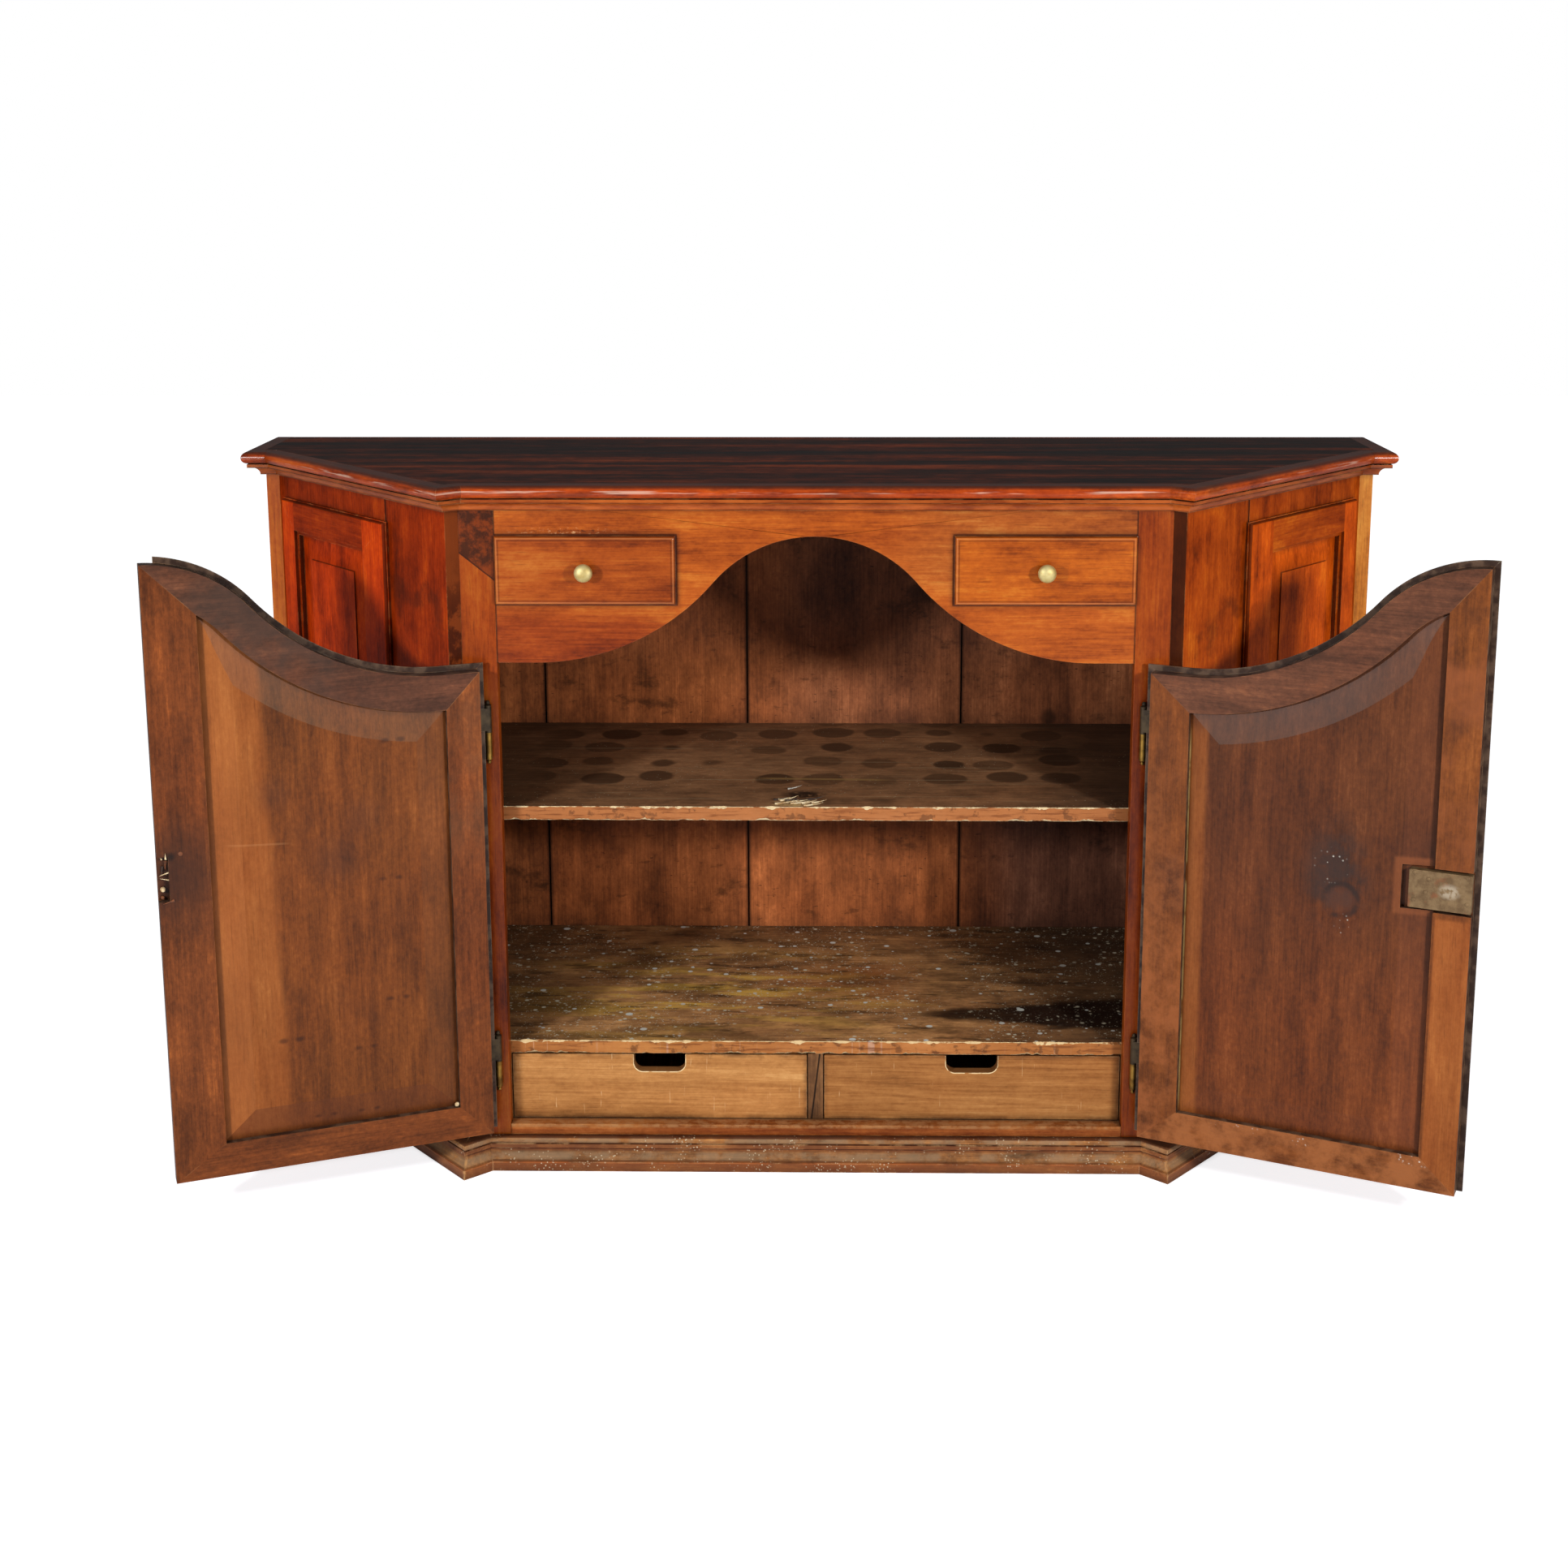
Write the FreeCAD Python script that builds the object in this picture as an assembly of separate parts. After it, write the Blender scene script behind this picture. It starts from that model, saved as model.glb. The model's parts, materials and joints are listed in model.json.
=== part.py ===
import FreeCAD, Part
import math
import os

# Canted credenza, millimetres, Z up, front towards -Y, floor at Z = 0.
# The front frame's face lies in Y = 0 and the centre plane is X = 0.

# Carcass
total_height = 1000.0
case_depth = 526.0
front_half = 488.0
cant_angle = 49.3
cant_run = 490.0
side_thick = 21.0
frame_thick = 20.0
end_thick = 20.0
back_thick = 16.0
stile_width = 48.0
corner_width = 165.0
post_width = 26.0
side_head = 60.0

# Top, crown and plinth
top_thick = 18.0
crown_height = 18.5
crown_step = 7.0
crown_shelf = 23.0
crown_fillet = 2.0
crown_ease = 1.2
crown_low_share = 0.14
crown_cove_share = 0.65
hollow_share = 0.3
plinth_height = 50.0
plinth_thick = 25.0
plinth_front = 15.0
plinth_facet = 26.0
plinth_side = 20.0
plinth_block = 14.0
plinth_ease = 1.5
plinth_chamfer = 2.5
plinth_sweep = 7.5
plinth_neck = 9.0
plinth_bead = 7.0
plinth_swell = 4.5
sweep_share = 0.2
neck_share = 0.48
bead_share = 0.2

# Front opening and its ogee head
sill_height = 16.0
apron_drop = 250.5
arch_rise = 177.0
arch_spread_share = 0.875
arch_share = 0.363

# Inside
shelf_share = 0.6165
shelf_thick = 20.0
shelf_setback = 33.0
deck_top = 185.0
deck_thick = 19.0
deck_setback = 22.0
bottom_thick = 16.0
board_spare = 1.0
divider_thick = 22.0
guide_thick = 18.0
bearer_height = 25.0
bearer_thick = 20.0
bearer_length = 110.0
board_shares = (-0.5288, -0.1387, 0.2733, 0.6639)
joint_width = 2.4

# Doors
door_thick = 20.0
lip_thick = 8.5
lip_side = 8.0
lip_head = 3.0
lip_step = 1.6
lip_round = 4.0
seat_share = 0.65
frame_gap = 0.5
door_gap = 1.5
head_gap = 5.0
foot_gap = 2.0
door_rail = 47.0
door_head = 50.0
left_hinge_stile = 47.0
left_meeting_stile = 68.0
right_hinge_stile = 55.0
right_meeting_stile = 49.0
lap_cover = 7.0
lap_cutback = 20.0
side_front_stile = 58.0
side_back_stile = 37.0
side_head_rail = 39.0
side_foot_rail = 47.0
panel_tongue = 7.0
tongue_front = 12.0
tongue_thick = 7.0
groove_spare = 1.0
inner_bevel = 42.0
inner_rise = 7.0
outer_bevel = 34.0
outer_rise = 4.0
outer_step = 2.0
panel_rebate = 6.0
rebate_depth = 5.0
mitre_share = 0.6
overrun_angle = 20.0
left_angle = 158.1
right_angle = 155.8

# Hinges
hinge_out = 14.0
hinge_forward = 6.0
barrel_radius = 5.0
barrel_length = 38.0
pin_radius = 2.5
pin_slack = 0.05
pin_length = 34.0
pin_chamfer = 1.0
barrel_gap = 0.4
finial_length = 7.5
finial_radius = 3.2
finial_shares = ((0, 0), (0.6, 0.067), (1, 0.333), (1, 0.533), (0.7, 0.733))
finial_neck_share = 0.933
leaf_thick = 2.0
leaf_length = 32.0
leaf_depth = 16.0
plate_thick = 1.2
hinge_drop = 97.5
lower_hinge = 166.0

# Lock
lock_width = 81.0
lock_height = 52.0
lock_share = 0.5823
lock_thick = 12.5
lock_proud = 1.0
lock_pocket = 10.0
pocket_spare = 4.0
bolt_height = 12.0
bolt_thick = 6.0
bolt_length = 32.0
bolt_throw = 9.0
bolt_slack = 0.4
strike_spare = 6.0
strike_height = 62.0
strike_rise = 9.0

# Drawers
frieze_share = 0.4318
frieze_drop = 71.2
frieze_height = 97.3
frieze_lip = 8.0
frieze_thick = 14.0
frieze_rear = 186.0
frieze_wall = 9.0
frieze_slack = 0.8
cradle_thick = 12.0
knob_radius = 12.5
knob_length = 25.0
stem_shares = ((0, 0), (0.55, 0), (0.55, 0.07), (0.4, 0.12), (0.4, 0.4))
dome_shares = ((0.8, 0.5), (1, 0.66), (0.96, 0.8), (0.7, 0.93), (0, 1))
drawer_front = 18.0
drawer_wall = 10.0
drawer_floor = 6.0
drawer_slack = 1.6
drawer_lift = 0.5
drawer_rear = 30.0
finger_width = 74.0
finger_depth = 26.0
finger_round = 13.0

# Overrun of cutters, and the width below which an edge is left out
overcut = 1.0
tiny = 0.001

# Derived lines
top_under = total_height - top_thick
crown_foot = top_under - crown_height
open_half = front_half - stile_width
sill_top = plinth_height + sill_height
apron_low = total_height - apron_drop
shelf_top = deck_top + shelf_share * (apron_low - deck_top)
upper_hinge = apron_low - hinge_drop
lock_foot = sill_top + lock_share * (apron_low - sill_top)
frieze_outer = open_half
frieze_inner = frieze_share * open_half
frieze_head = total_height - frieze_drop
frieze_foot = frieze_head - frieze_height
cant = math.radians(cant_angle)
along = FreeCAD.Vector(math.cos(cant), math.sin(cant), 0)
outward = FreeCAD.Vector(math.sin(cant), -math.cos(cant), 0)
inner_corner = FreeCAD.Vector(front_half, 0, 0)
outer_corner = inner_corner + outward * side_thick
cant_end = outer_corner + along * cant_run
end_x = cant_end.x
end_y = cant_end.y
case_half = end_x + end_thick
back_face = case_depth - back_thick
frieze_length = back_face - frieze_thick - frieze_rear
drawer_length = back_face - deck_setback - drawer_front - drawer_rear
arch_run = arch_spread_share * open_half
arch_turn = 2 * math.atan(arch_rise / arch_run)
arch_sum = arch_run / math.sin(arch_turn)
crest_radius = arch_share * arch_sum
cove_radius = arch_sum - crest_radius
crest_level = apron_low + arch_rise
lip_front = -frame_gap - lip_thick
door_back = door_thick - frame_gap
tongue_y0 = lip_front + tongue_front
tongue_y1 = tongue_y0 + tongue_thick
panel_y0 = tongue_y0 - outer_rise - outer_step
panel_y1 = tongue_y1 + inner_rise
hinge_x = -(open_half + hinge_out)
hinge_y = -hinge_forward
deck_under = deck_top - deck_thick
side_opening = cant_run - post_width
side_top = top_under - side_head
side_hinge_x = side_opening + hinge_out
Z = FreeCAD.Vector(0, 0, 1)


def vec(x, y, z):
    return FreeCAD.Vector(x, y, z)


def block(x0, x1, y0, y1, z0, z1):
    return Part.makeBox(x1 - x0, y1 - y0, z1 - z0, vec(x0, y0, z0))


def slab(points, z0, z1):
    corners = [vec(x, y, z0) for x, y in points]
    face = Part.Face(Part.makePolygon(corners + corners[:1]))
    return face.extrude(vec(0, 0, z1 - z0))


def upright(points, y0, y1):
    corners = [vec(x, y0, z) for x, z in points]
    face = Part.Face(Part.makePolygon(corners + corners[:1]))
    return face.extrude(vec(0, y1 - y0, 0))


def turned(profile, x, y):
    corners = [vec(x + r, y, z) for r, z in profile]
    face = Part.Face(Part.makePolygon(corners + corners[:1]))
    return face.revolve(vec(x, y, 0), Z, 360)


def flip(shape):
    return shape.mirror(vec(0, 0, 0), vec(1, 0, 0))


def to_side(shape):
    moved = shape.copy()
    moved.rotate(vec(0, 0, 0), Z, cant_angle)
    moved.translate(outer_corner)
    return moved


def joined(shapes):
    return shapes[0].fuse(shapes[1:]).removeSplitter()


def export(name, shape):
    shape.exportStep("parts/" + name + ".step")


def export_pair(name, shape):
    export(name + "_right", shape)
    export(name + "_left", flip(shape))


# Plan of the case: front, facet, canted side, return and end, each with its outward normal
plan = (
    (vec(0, 0, 0), vec(0, -1, 0)),
    (inner_corner, along * -1),
    (outer_corner, outward),
    (cant_end, vec(0, -1, 0)),
    (vec(case_half, end_y, 0), vec(1, 0, 0)),
)
flush = (0,) * len(plan)


def crossing(p, n, q, m):
    det = n.x * m.y - n.y * m.x
    a = p.dot(n)
    b = q.dot(m)
    return vec((a * m.y - b * n.y) / det, (n.x * b - m.x * a) / det, 0)


def corner(index, reaches, offset):
    p, n = plan[index]
    p = p + n * (reaches[index] + offset)
    if index == len(plan) - 1:
        return vec(p.x, case_depth, 0)
    q, m = plan[index + 1]
    q = q + m * (reaches[index + 1] + offset)
    return crossing(p, n, q, m)


def run_solid(index, reaches, section, low, high):
    inside = low - overcut
    outside = high + overcut
    if index == 0:
        c = corner(0, reaches, inside)
        d = corner(0, reaches, outside)
        quad = [(-c.x, c.y), (c.x, c.y), (d.x, d.y), (-d.x, d.y)]
    else:
        ends = [corner(i, reaches, o) for i, o in ((index - 1, inside), (index, inside))]
        tips = [corner(i, reaches, o) for i, o in ((index, outside), (index - 1, outside))]
        quad = [(c.x, c.y) for c in ends + tips]
    point, normal = plan[index]
    way = vec(-normal.y, normal.x, 0)
    base = point + normal * reaches[index]
    edges = []
    for kind, marks in section:
        spots = [base + normal * d + Z * z for d, z in marks]
        if kind == "line":
            edges.append(Part.makeLine(spots[0], spots[1]))
        else:
            edges.append(Part.Arc(*spots).toShape())
    face = Part.Face(Part.Wire(edges))
    length = 2 * (case_half + case_depth)
    face.translate(way * (-length / 2))
    return face.extrude(way * length).common(slab(quad, -overcut, total_height + overcut))


def lines(marks):
    return [("line", pair) for pair in zip(marks[:-1], marks[1:])]


def crown_section():
    foot = crown_foot
    cove_foot = foot + crown_low_share * crown_height
    cove_head = foot + crown_cove_share * crown_height
    rise = cove_head - cove_foot
    cove_tip = crown_shelf - crown_fillet
    reach = cove_tip - crown_step
    half = top_thick / 2
    section = lines([(0, foot), (crown_step, foot), (crown_step, cove_foot)])
    waist = (crown_step + hollow_share * reach, cove_foot + (1 - hollow_share) * rise)
    section.append(("arc", ((crown_step, cove_foot), waist, (cove_tip, cove_head))))
    eased = top_under - crown_ease
    ledge = [(cove_tip, cove_head), (crown_shelf, cove_head), (crown_shelf, eased), (cove_tip, top_under)]
    section += lines(ledge)
    nose = ((cove_tip, top_under), (cove_tip + half, top_under + half), (cove_tip, total_height))
    section.append(("arc", nose))
    section += lines([(cove_tip, total_height), (0, total_height), (0, foot)])
    return section, 0, cove_tip + half


def plinth_section():
    tall = plinth_height
    rise = tall - plinth_block
    low = plinth_block + plinth_ease
    neck = plinth_block + neck_share * rise
    bead = neck + bead_share * rise
    top = bead + plinth_ease
    section = lines([(-plinth_thick, 0), (0, 0), (0, plinth_block), (-plinth_chamfer, low)])
    sweep = (-plinth_sweep, plinth_block + sweep_share * rise)
    section.append(("arc", ((-plinth_chamfer, low), sweep, (-plinth_neck, neck))))
    proud = neck + plinth_ease
    section += lines([(-plinth_neck, neck), (-plinth_bead, proud), (-plinth_bead, bead), (-plinth_neck, top)])
    section.append(("arc", ((-plinth_neck, top), (-plinth_swell, (top + tall) / 2), (-plinth_neck, tall))))
    section += lines([(-plinth_neck, tall), (-plinth_thick, tall), (-plinth_thick, 0)])
    return section, -plinth_thick, 0


def export_runs(name, reaches, section, low, high):
    export(name + "_front", run_solid(0, reaches, section, low, high))
    runs = [run_solid(i, reaches, section, low, high) for i in range(1, len(plan))]
    export_pair(name, Part.makeCompound(runs))


def inner_board(front_y, spare, z0, z1):
    # a board across the whole inside, spare clear of the sides and back
    start = inner_corner - outward * spare
    front_x = start.x + (front_y - start.y) / math.tan(cant)
    rear_x = end_x - spare
    rear_y = start.y + (rear_x - start.x) * math.tan(cant)
    right = [(front_x, front_y), (rear_x, rear_y), (rear_x, back_face - spare)]
    left = [(-x, y) for x, y in reversed(right)]
    return slab(right + left, z0, z1)


def shelf():
    # its front edge runs on behind the stiles
    return inner_board(shelf_setback, board_spare, shelf_top - shelf_thick, shelf_top)


def top_board():
    right = [corner(i, flush, 0) for i in range(len(plan))]
    points = [(c.x, c.y) for c in right]
    points += [(-x, y) for x, y in reversed(points)]
    return slab(points, top_under, total_height)


def front_stile():
    slant = frame_thick / math.tan(cant)
    points = [(open_half, 0), (front_half, 0), (front_half + slant, frame_thick), (open_half, frame_thick)]
    stile = slab(points, plinth_height, top_under)
    for level in (upper_hinge, lower_hinge):
        stile = stile.cut(flip(pin_leaf(hinge_x, hinge_y, level)))
    return stile


def corner_board():
    return to_side(block(0, corner_width, 0, side_thick, plinth_height, top_under))


def side_frame():
    inner_run = (end_x - inner_corner.x) / math.cos(cant)
    points = [(side_opening, 0), (cant_run, 0), (inner_run, side_thick), (side_opening, side_thick)]
    post = slab(points, plinth_height, top_under)
    for level in (upper_hinge, lower_hinge):
        post = post.cut(pin_leaf(side_hinge_x, hinge_y, level))
    head = block(corner_width, side_opening, 0, side_thick, side_top, top_under)
    foot = block(corner_width, side_opening, 0, side_thick, plinth_height, sill_top)
    return to_side(Part.makeCompound([post, head, foot]))


def end_board():
    return block(end_x, case_half, end_y, back_face, plinth_height, top_under)


def back_boards():
    seams = [-case_half] + [share * case_half for share in board_shares] + [case_half]
    boards = []
    for i in range(len(seams) - 1):
        board = block(seams[i], seams[i + 1], back_face, case_depth, plinth_height, top_under)
        if i:
            half = back_face + back_thick / 2
            gap = block(seams[i], seams[i] + joint_width, back_face, half, plinth_height, top_under)
            board = board.cut(gap)
        boards.append(board)
    return Part.makeCompound(boards)


def ogee_pieces(drop):
    crest = crest_radius + drop
    cove = cove_radius - drop
    turn_x = crest * math.sin(arch_turn)

    def straight(x):
        return apron_low + drop

    def hollow(x):
        return apron_low + cove_radius - math.sqrt(cove ** 2 - (x + arch_run) ** 2)

    def round_top(x):
        return crest_level - crest_radius + math.sqrt(crest ** 2 - x ** 2)

    return (
        (-2 * front_half, -arch_run, straight, False),
        (-arch_run, -turn_x, hollow, True),
        (-turn_x, turn_x, round_top, True),
    )


def ogee_level(x, drop):
    for start, stop, level, curved in ogee_pieces(drop):
        if x <= stop:
            return level(x)
    return level(x)


def ogee_edges(x0, x1, drop, y):
    edges = []
    for start, stop, level, curved in ogee_pieces(drop):
        a = max(start, x0)
        b = min(stop, x1)
        if b - a < tiny:
            continue
        spots = [vec(x, y, level(x)) for x in (a, (a + b) / 2, b)]
        if curved:
            edges.append(Part.Arc(*spots).toShape())
        else:
            edges.append(Part.makeLine(spots[0], spots[2]))
    return edges


def ogee_plate(x0, x1, z0, drop, y0, y1):
    edges = ogee_edges(x0, x1, drop, y0)
    levels = (ogee_level(x1, drop), z0, z0, ogee_level(x0, drop))
    loop = [vec(x, y0, z) for x, z in zip((x1, x1, x0, x0), levels)]
    edges += [Part.makeLine(a, b) for a, b in zip(loop[:-1], loop[1:])]
    return Part.Face(Part.Wire(edges)).extrude(vec(0, y1 - y0, 0))


def apron():
    board = block(-open_half, open_half, 0, frame_thick, apron_low, top_under)
    head = ogee_plate(-open_half - overcut, 0, 0, 0, -overcut, frame_thick + overcut)
    board = board.cut(head).cut(flip(head))
    for sign in (-1, 1):
        x0, x1 = sorted((sign * (frieze_inner + frieze_lip), sign * (frieze_outer - frieze_lip)))
        z0 = frieze_foot + frieze_lip
        z1 = frieze_head - frieze_lip
        board = board.cut(block(x0, x1, -overcut, frame_thick + overcut, z0, z1))
    return board


def shelf_bearers():
    top = shelf_top - shelf_thick
    foot = top - bearer_height
    rear = block(-end_x, end_x, back_face - bearer_thick, back_face, foot, top)
    start = (corner_width - bearer_length) / 2
    front = block(start, start + bearer_length, side_thick, side_thick + bearer_thick, foot, top)
    side = to_side(front)
    return Part.makeCompound([rear, side, flip(side)])


def pin_leaf(x, y, level):
    head = level - (barrel_length - leaf_length) / 2
    half = leaf_thick / 2
    return block(x - half, x + half, y, y + hinge_forward + leaf_depth, head - leaf_length, head)


def finial(tip, length):
    # from the tip to the barrel, a negative length for one that points up
    marks = [(u * finial_radius, tip + w * length) for u, w in finial_shares]
    return marks + [(barrel_radius, tip + finial_neck_share * length)]


def hinge_pin(x, y, level):
    top = level - barrel_gap / 2
    tip = level - barrel_length - finial_length
    head = level + pin_length
    profile = finial(tip, finial_length) + [
        (barrel_radius, top), (pin_radius, top), (pin_radius, head - pin_chamfer),
        (pin_radius - pin_chamfer, head), (0, head),
    ]
    return joined([turned(profile, x, y), pin_leaf(x, y, level)])


def barrel_plate(x, y, level, edge):
    foot = level + (barrel_length - leaf_length) / 2
    x0, x1 = sorted((x, edge))
    return block(x0, x1, -frame_gap - plate_thick, -frame_gap, foot, foot + leaf_length)


def hinge_barrel(x, y, level, edge):
    foot = level + barrel_gap / 2
    tip = level + barrel_length + finial_length
    bore = pin_radius + pin_slack
    depth = level + pin_length + 2 * barrel_gap
    profile = finial(tip, -finial_length) + [(barrel_radius, foot), (bore, foot), (bore, depth), (0, depth)]
    return joined([turned(profile, x, y), barrel_plate(x, y, level, edge)])


def lip_layers(make):
    split = lip_front + seat_share * lip_thick
    seat = make(0, split, -frame_gap)
    face = make(lip_step, lip_front, split)
    rim = [e for e in face.Edges if all(abs(v.Y - lip_front) < tiny for v in e.Vertexes)]
    return seat, face.makeFillet(lip_round, rim)


def mitred(ring, outer, inner):
    # bottom rail, second stile, top rail and first stile
    tips = [o + (o - i) * mitre_share for o, i in zip(outer, inner)]
    heart = (inner[0] + inner[1] + inner[2] + inner[3]) * 0.25
    high = max(o.z for o in outer) + 4 * lip_side
    pieces = []
    for k in range(4):
        m = (k + 1) % 4
        loop = [inner[k], tips[k], tips[m], inner[m], heart]
        if k == 2:
            above = [vec(tips[2].x, 0, high), vec(tips[3].x, 0, high)]
            loop = [inner[2], tips[2]] + above + [tips[3], inner[3], heart]
        points = [(p.x, p.z) for p in loop]
        pieces.append(ring.common(upright(points, lip_front - overcut, door_back + overcut)))
    return pieces


def bevel_marks(bevel, rise, step):
    low = -rise - step
    back = -3 * panel_tongue
    return [(back, door_thick), (back, low), (0, low), (bevel, -step), (bevel, door_thick)]


def wedge(edge_x, edge_z, way, marks, face_y, side, length):
    # a straight cutter along the edge through one point; way points from the edge to the panel's middle
    spots = [vec(edge_x + way[0] * u, face_y + side * d, edge_z + way[1] * u) for u, d in marks]
    face = Part.Face(Part.makePolygon(spots + spots[:1]))
    run = vec(-way[1], 0, way[0])
    face.translate(run * (-length))
    return face.extrude(run * (2 * length))


def ring_wedge(x, z, radius, way, marks, face_y, side, start):
    # the same cutter turned about an arc's centre
    spots = [vec(x + radius + way * u, face_y + side * d, z) for u, d in marks]
    face = Part.Face(Part.makePolygon(spots + spots[:1]))
    axis = vec(0, -1, 0)
    face.rotate(vec(x, 0, z), axis, start - overrun_angle)
    return face.revolve(vec(x, 0, z), axis, overrun_angle + math.degrees(arch_turn))


def bevelled(panel, x0, x1, z0, head, marks, face_y, side):
    # head is a level for a straight head, or None for the ogee
    span = 2 * total_height
    cut = (marks, face_y, side)
    cutters = [wedge(x0, z0, (1, 0), *cut, span), wedge(x1, z0, (-1, 0), *cut, span)]
    cutters.append(wedge(x0, z0, (0, 1), *cut, span))
    if head is not None:
        cutters.append(wedge(x0, head, (0, -1), *cut, span))
    else:
        drop = -head_gap - door_head
        centre = apron_low + cove_radius
        cutters.append(ring_wedge(-arch_run, centre, cove_radius - drop, 1, *cut, 270))
        cutters.append(ring_wedge(0, crest_level - crest_radius, crest_radius + drop, -1, *cut, 90))
    for cutter in cutters:
        panel = panel.cut(cutter)
    return panel


def raised(panel, x0, x1, z0, head):
    inner = bevel_marks(inner_bevel, inner_rise, 0)
    outer = bevel_marks(outer_bevel, outer_rise, outer_step)
    panel = bevelled(panel, x0, x1, z0, head, inner, panel_y1, 1)
    return bevelled(panel, x0, x1, z0, head, outer, panel_y0, -1)


def front_door(hinge_stile, meeting_stile, lip_end):
    # built closed on the left: hinge stile, bottom rail, meeting stile, top rail and panel
    x0 = -(open_half - door_gap)
    x1 = -door_gap / 2
    z0 = sill_top + foot_gap
    reach = open_half + lip_side

    def layer(step, y0, y1):
        return ogee_plate(-reach + step, lip_end - step, z0, lip_head - step, y0, y1)

    seat, face = lip_layers(layer)
    ring = joined([ogee_plate(x0, x1, z0, -head_gap, -frame_gap, door_back), seat, face])
    a = x0 + hinge_stile
    b = x1 - meeting_stile
    c = z0 + door_rail
    drop = -head_gap - door_head
    ring = ring.cut(ogee_plate(a, b, c, drop, lip_front - overcut, door_back + overcut))
    g = panel_rebate
    ring = ring.cut(ogee_plate(a - g, b + g, c - g, drop + g, lip_front - overcut, lip_front + rebate_depth))
    g = panel_tongue + groove_spare
    ring = ring.cut(ogee_plate(a - g, b + g, c - g, drop + g, tongue_y0, tongue_y1))
    for level in (upper_hinge, lower_hinge):
        ring = ring.cut(barrel_plate(hinge_x, hinge_y, level, -open_half + door_gap))
    heads = [ogee_level(x1, -head_gap), ogee_level(x0, -head_gap)]
    outer = [vec(x0, 0, z0), vec(x1, 0, z0), vec(x1, 0, heads[0]), vec(x0, 0, heads[1])]
    heads = [ogee_level(b, drop), ogee_level(a, drop)]
    inner = [vec(a, 0, c), vec(b, 0, c), vec(b, 0, heads[0]), vec(a, 0, heads[1])]
    rail, meeting, head, hanging = mitred(ring, outer, inner)
    g = panel_tongue
    panel = ogee_plate(a - g, b + g, c - g, drop + g, panel_y0, panel_y1)
    panel = raised(panel, a, b, c, None)
    barrels = [hinge_barrel(hinge_x, hinge_y, h, -open_half + door_gap) for h in (lower_hinge, upper_hinge)]
    return {
        "bottom_rail": rail,
        "meeting_stile": meeting,
        "top_rail": head,
        "hinge_stile": hanging,
        "panel": panel,
        "hinges": Part.makeCompound(barrels),
    }


def swung(shape, angle):
    moved = shape.copy()
    moved.rotate(vec(hinge_x, hinge_y, 0), Z, -angle)
    return moved


def export_door(name, pieces, angle, right):
    for piece, shape in pieces.items():
        moved = swung(shape, angle)
        export(name + "_" + piece, flip(moved) if right else moved)


def lock_pieces():
    # in the closed left door's frame, at its meeting edge
    edge = -door_gap / 2 - frame_gap
    y1 = door_back + lock_proud
    y0 = y1 - lock_thick
    z1 = lock_foot + lock_height
    case = block(edge - lock_width, edge, y0, y1, lock_foot, z1)
    middle = lock_foot + lock_height / 2
    centre = (y0 + y1) / 2
    s = bolt_slack
    channel = block(
        edge - bolt_length - 2 * s, edge + overcut, centre - bolt_thick / 2 - s, centre + bolt_thick / 2 + s,
        middle - bolt_height / 2 - s, middle + bolt_height / 2 + s)
    bolt = block(
        edge - bolt_length, edge, centre - bolt_thick / 2, centre + bolt_thick / 2,
        middle - bolt_height / 2, middle + bolt_height / 2)
    return case.cut(channel), bolt


def lock_recess():
    edge = -door_gap / 2 - frame_gap
    floor = door_back + lock_proud - lock_thick
    foot = lock_foot - pocket_spare
    head = lock_foot + lock_height + pocket_spare
    return block(edge - lock_width - lock_pocket, frame_gap, floor, door_back + overcut, foot, head)


def strike_recess():
    middle = lock_foot + lock_height / 2
    floor = door_back + lock_proud - lock_thick
    low = middle + strike_rise - strike_height / 2
    return block(-bolt_throw - strike_spare, overcut, floor, door_back + overcut, low, low + strike_height)


def side_door():
    # in the canted side's own frame: X along the side, Y inwards
    x0 = corner_width + door_gap
    x1 = side_opening - door_gap
    z0 = sill_top + foot_gap
    z1 = side_top - head_gap
    reach = door_gap + lip_side

    def layer(step, y0, y1):
        return block(x0 - reach + step, x1 + reach - step, y0, y1, z0, side_top + lip_side - step)

    seat, face = lip_layers(layer)
    frame = joined([block(x0, x1, -frame_gap, door_back, z0, z1), seat, face])
    a = x0 + side_front_stile
    b = x1 - side_back_stile
    c = z0 + side_foot_rail
    d = z1 - side_head_rail
    frame = frame.cut(block(a, b, lip_front - overcut, door_back + overcut, c, d))
    g = panel_rebate
    frame = frame.cut(block(a - g, b + g, lip_front - overcut, lip_front + rebate_depth, c - g, d + g))
    g = panel_tongue + groove_spare
    frame = frame.cut(block(a - g, b + g, tongue_y0, tongue_y1, c - g, d + g))
    for level in (upper_hinge, lower_hinge):
        frame = frame.cut(barrel_plate(side_hinge_x, hinge_y, level, side_opening - door_gap))
    outer = [vec(x0, 0, z0), vec(x1, 0, z0), vec(x1, 0, z1), vec(x0, 0, z1)]
    inner = [vec(a, 0, c), vec(b, 0, c), vec(b, 0, d), vec(a, 0, d)]
    frame = Part.makeCompound(mitred(frame, outer, inner))
    g = panel_tongue
    panel = block(a - g, b + g, panel_y0, panel_y1, c - g, d + g)
    panel = raised(panel, a, b, c, d)
    edge = side_opening - door_gap
    barrels = [hinge_barrel(side_hinge_x, hinge_y, h, edge) for h in (lower_hinge, upper_hinge)]
    return frame, panel, Part.makeCompound(barrels)


def tray(x0, x1, y0, y1, z0, z1, wall, floor):
    # floor board between two sides and a back
    return Part.makeCompound([
        block(x0, x0 + wall, y0, y1, z0, z1),
        block(x1 - wall, x1, y0, y1, z0, z1),
        block(x0 + wall, x1 - wall, y1 - wall, y1, z0, z1),
        block(x0 + wall, x1 - wall, y0, y1 - wall, z0, z0 + floor),
    ])


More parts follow.
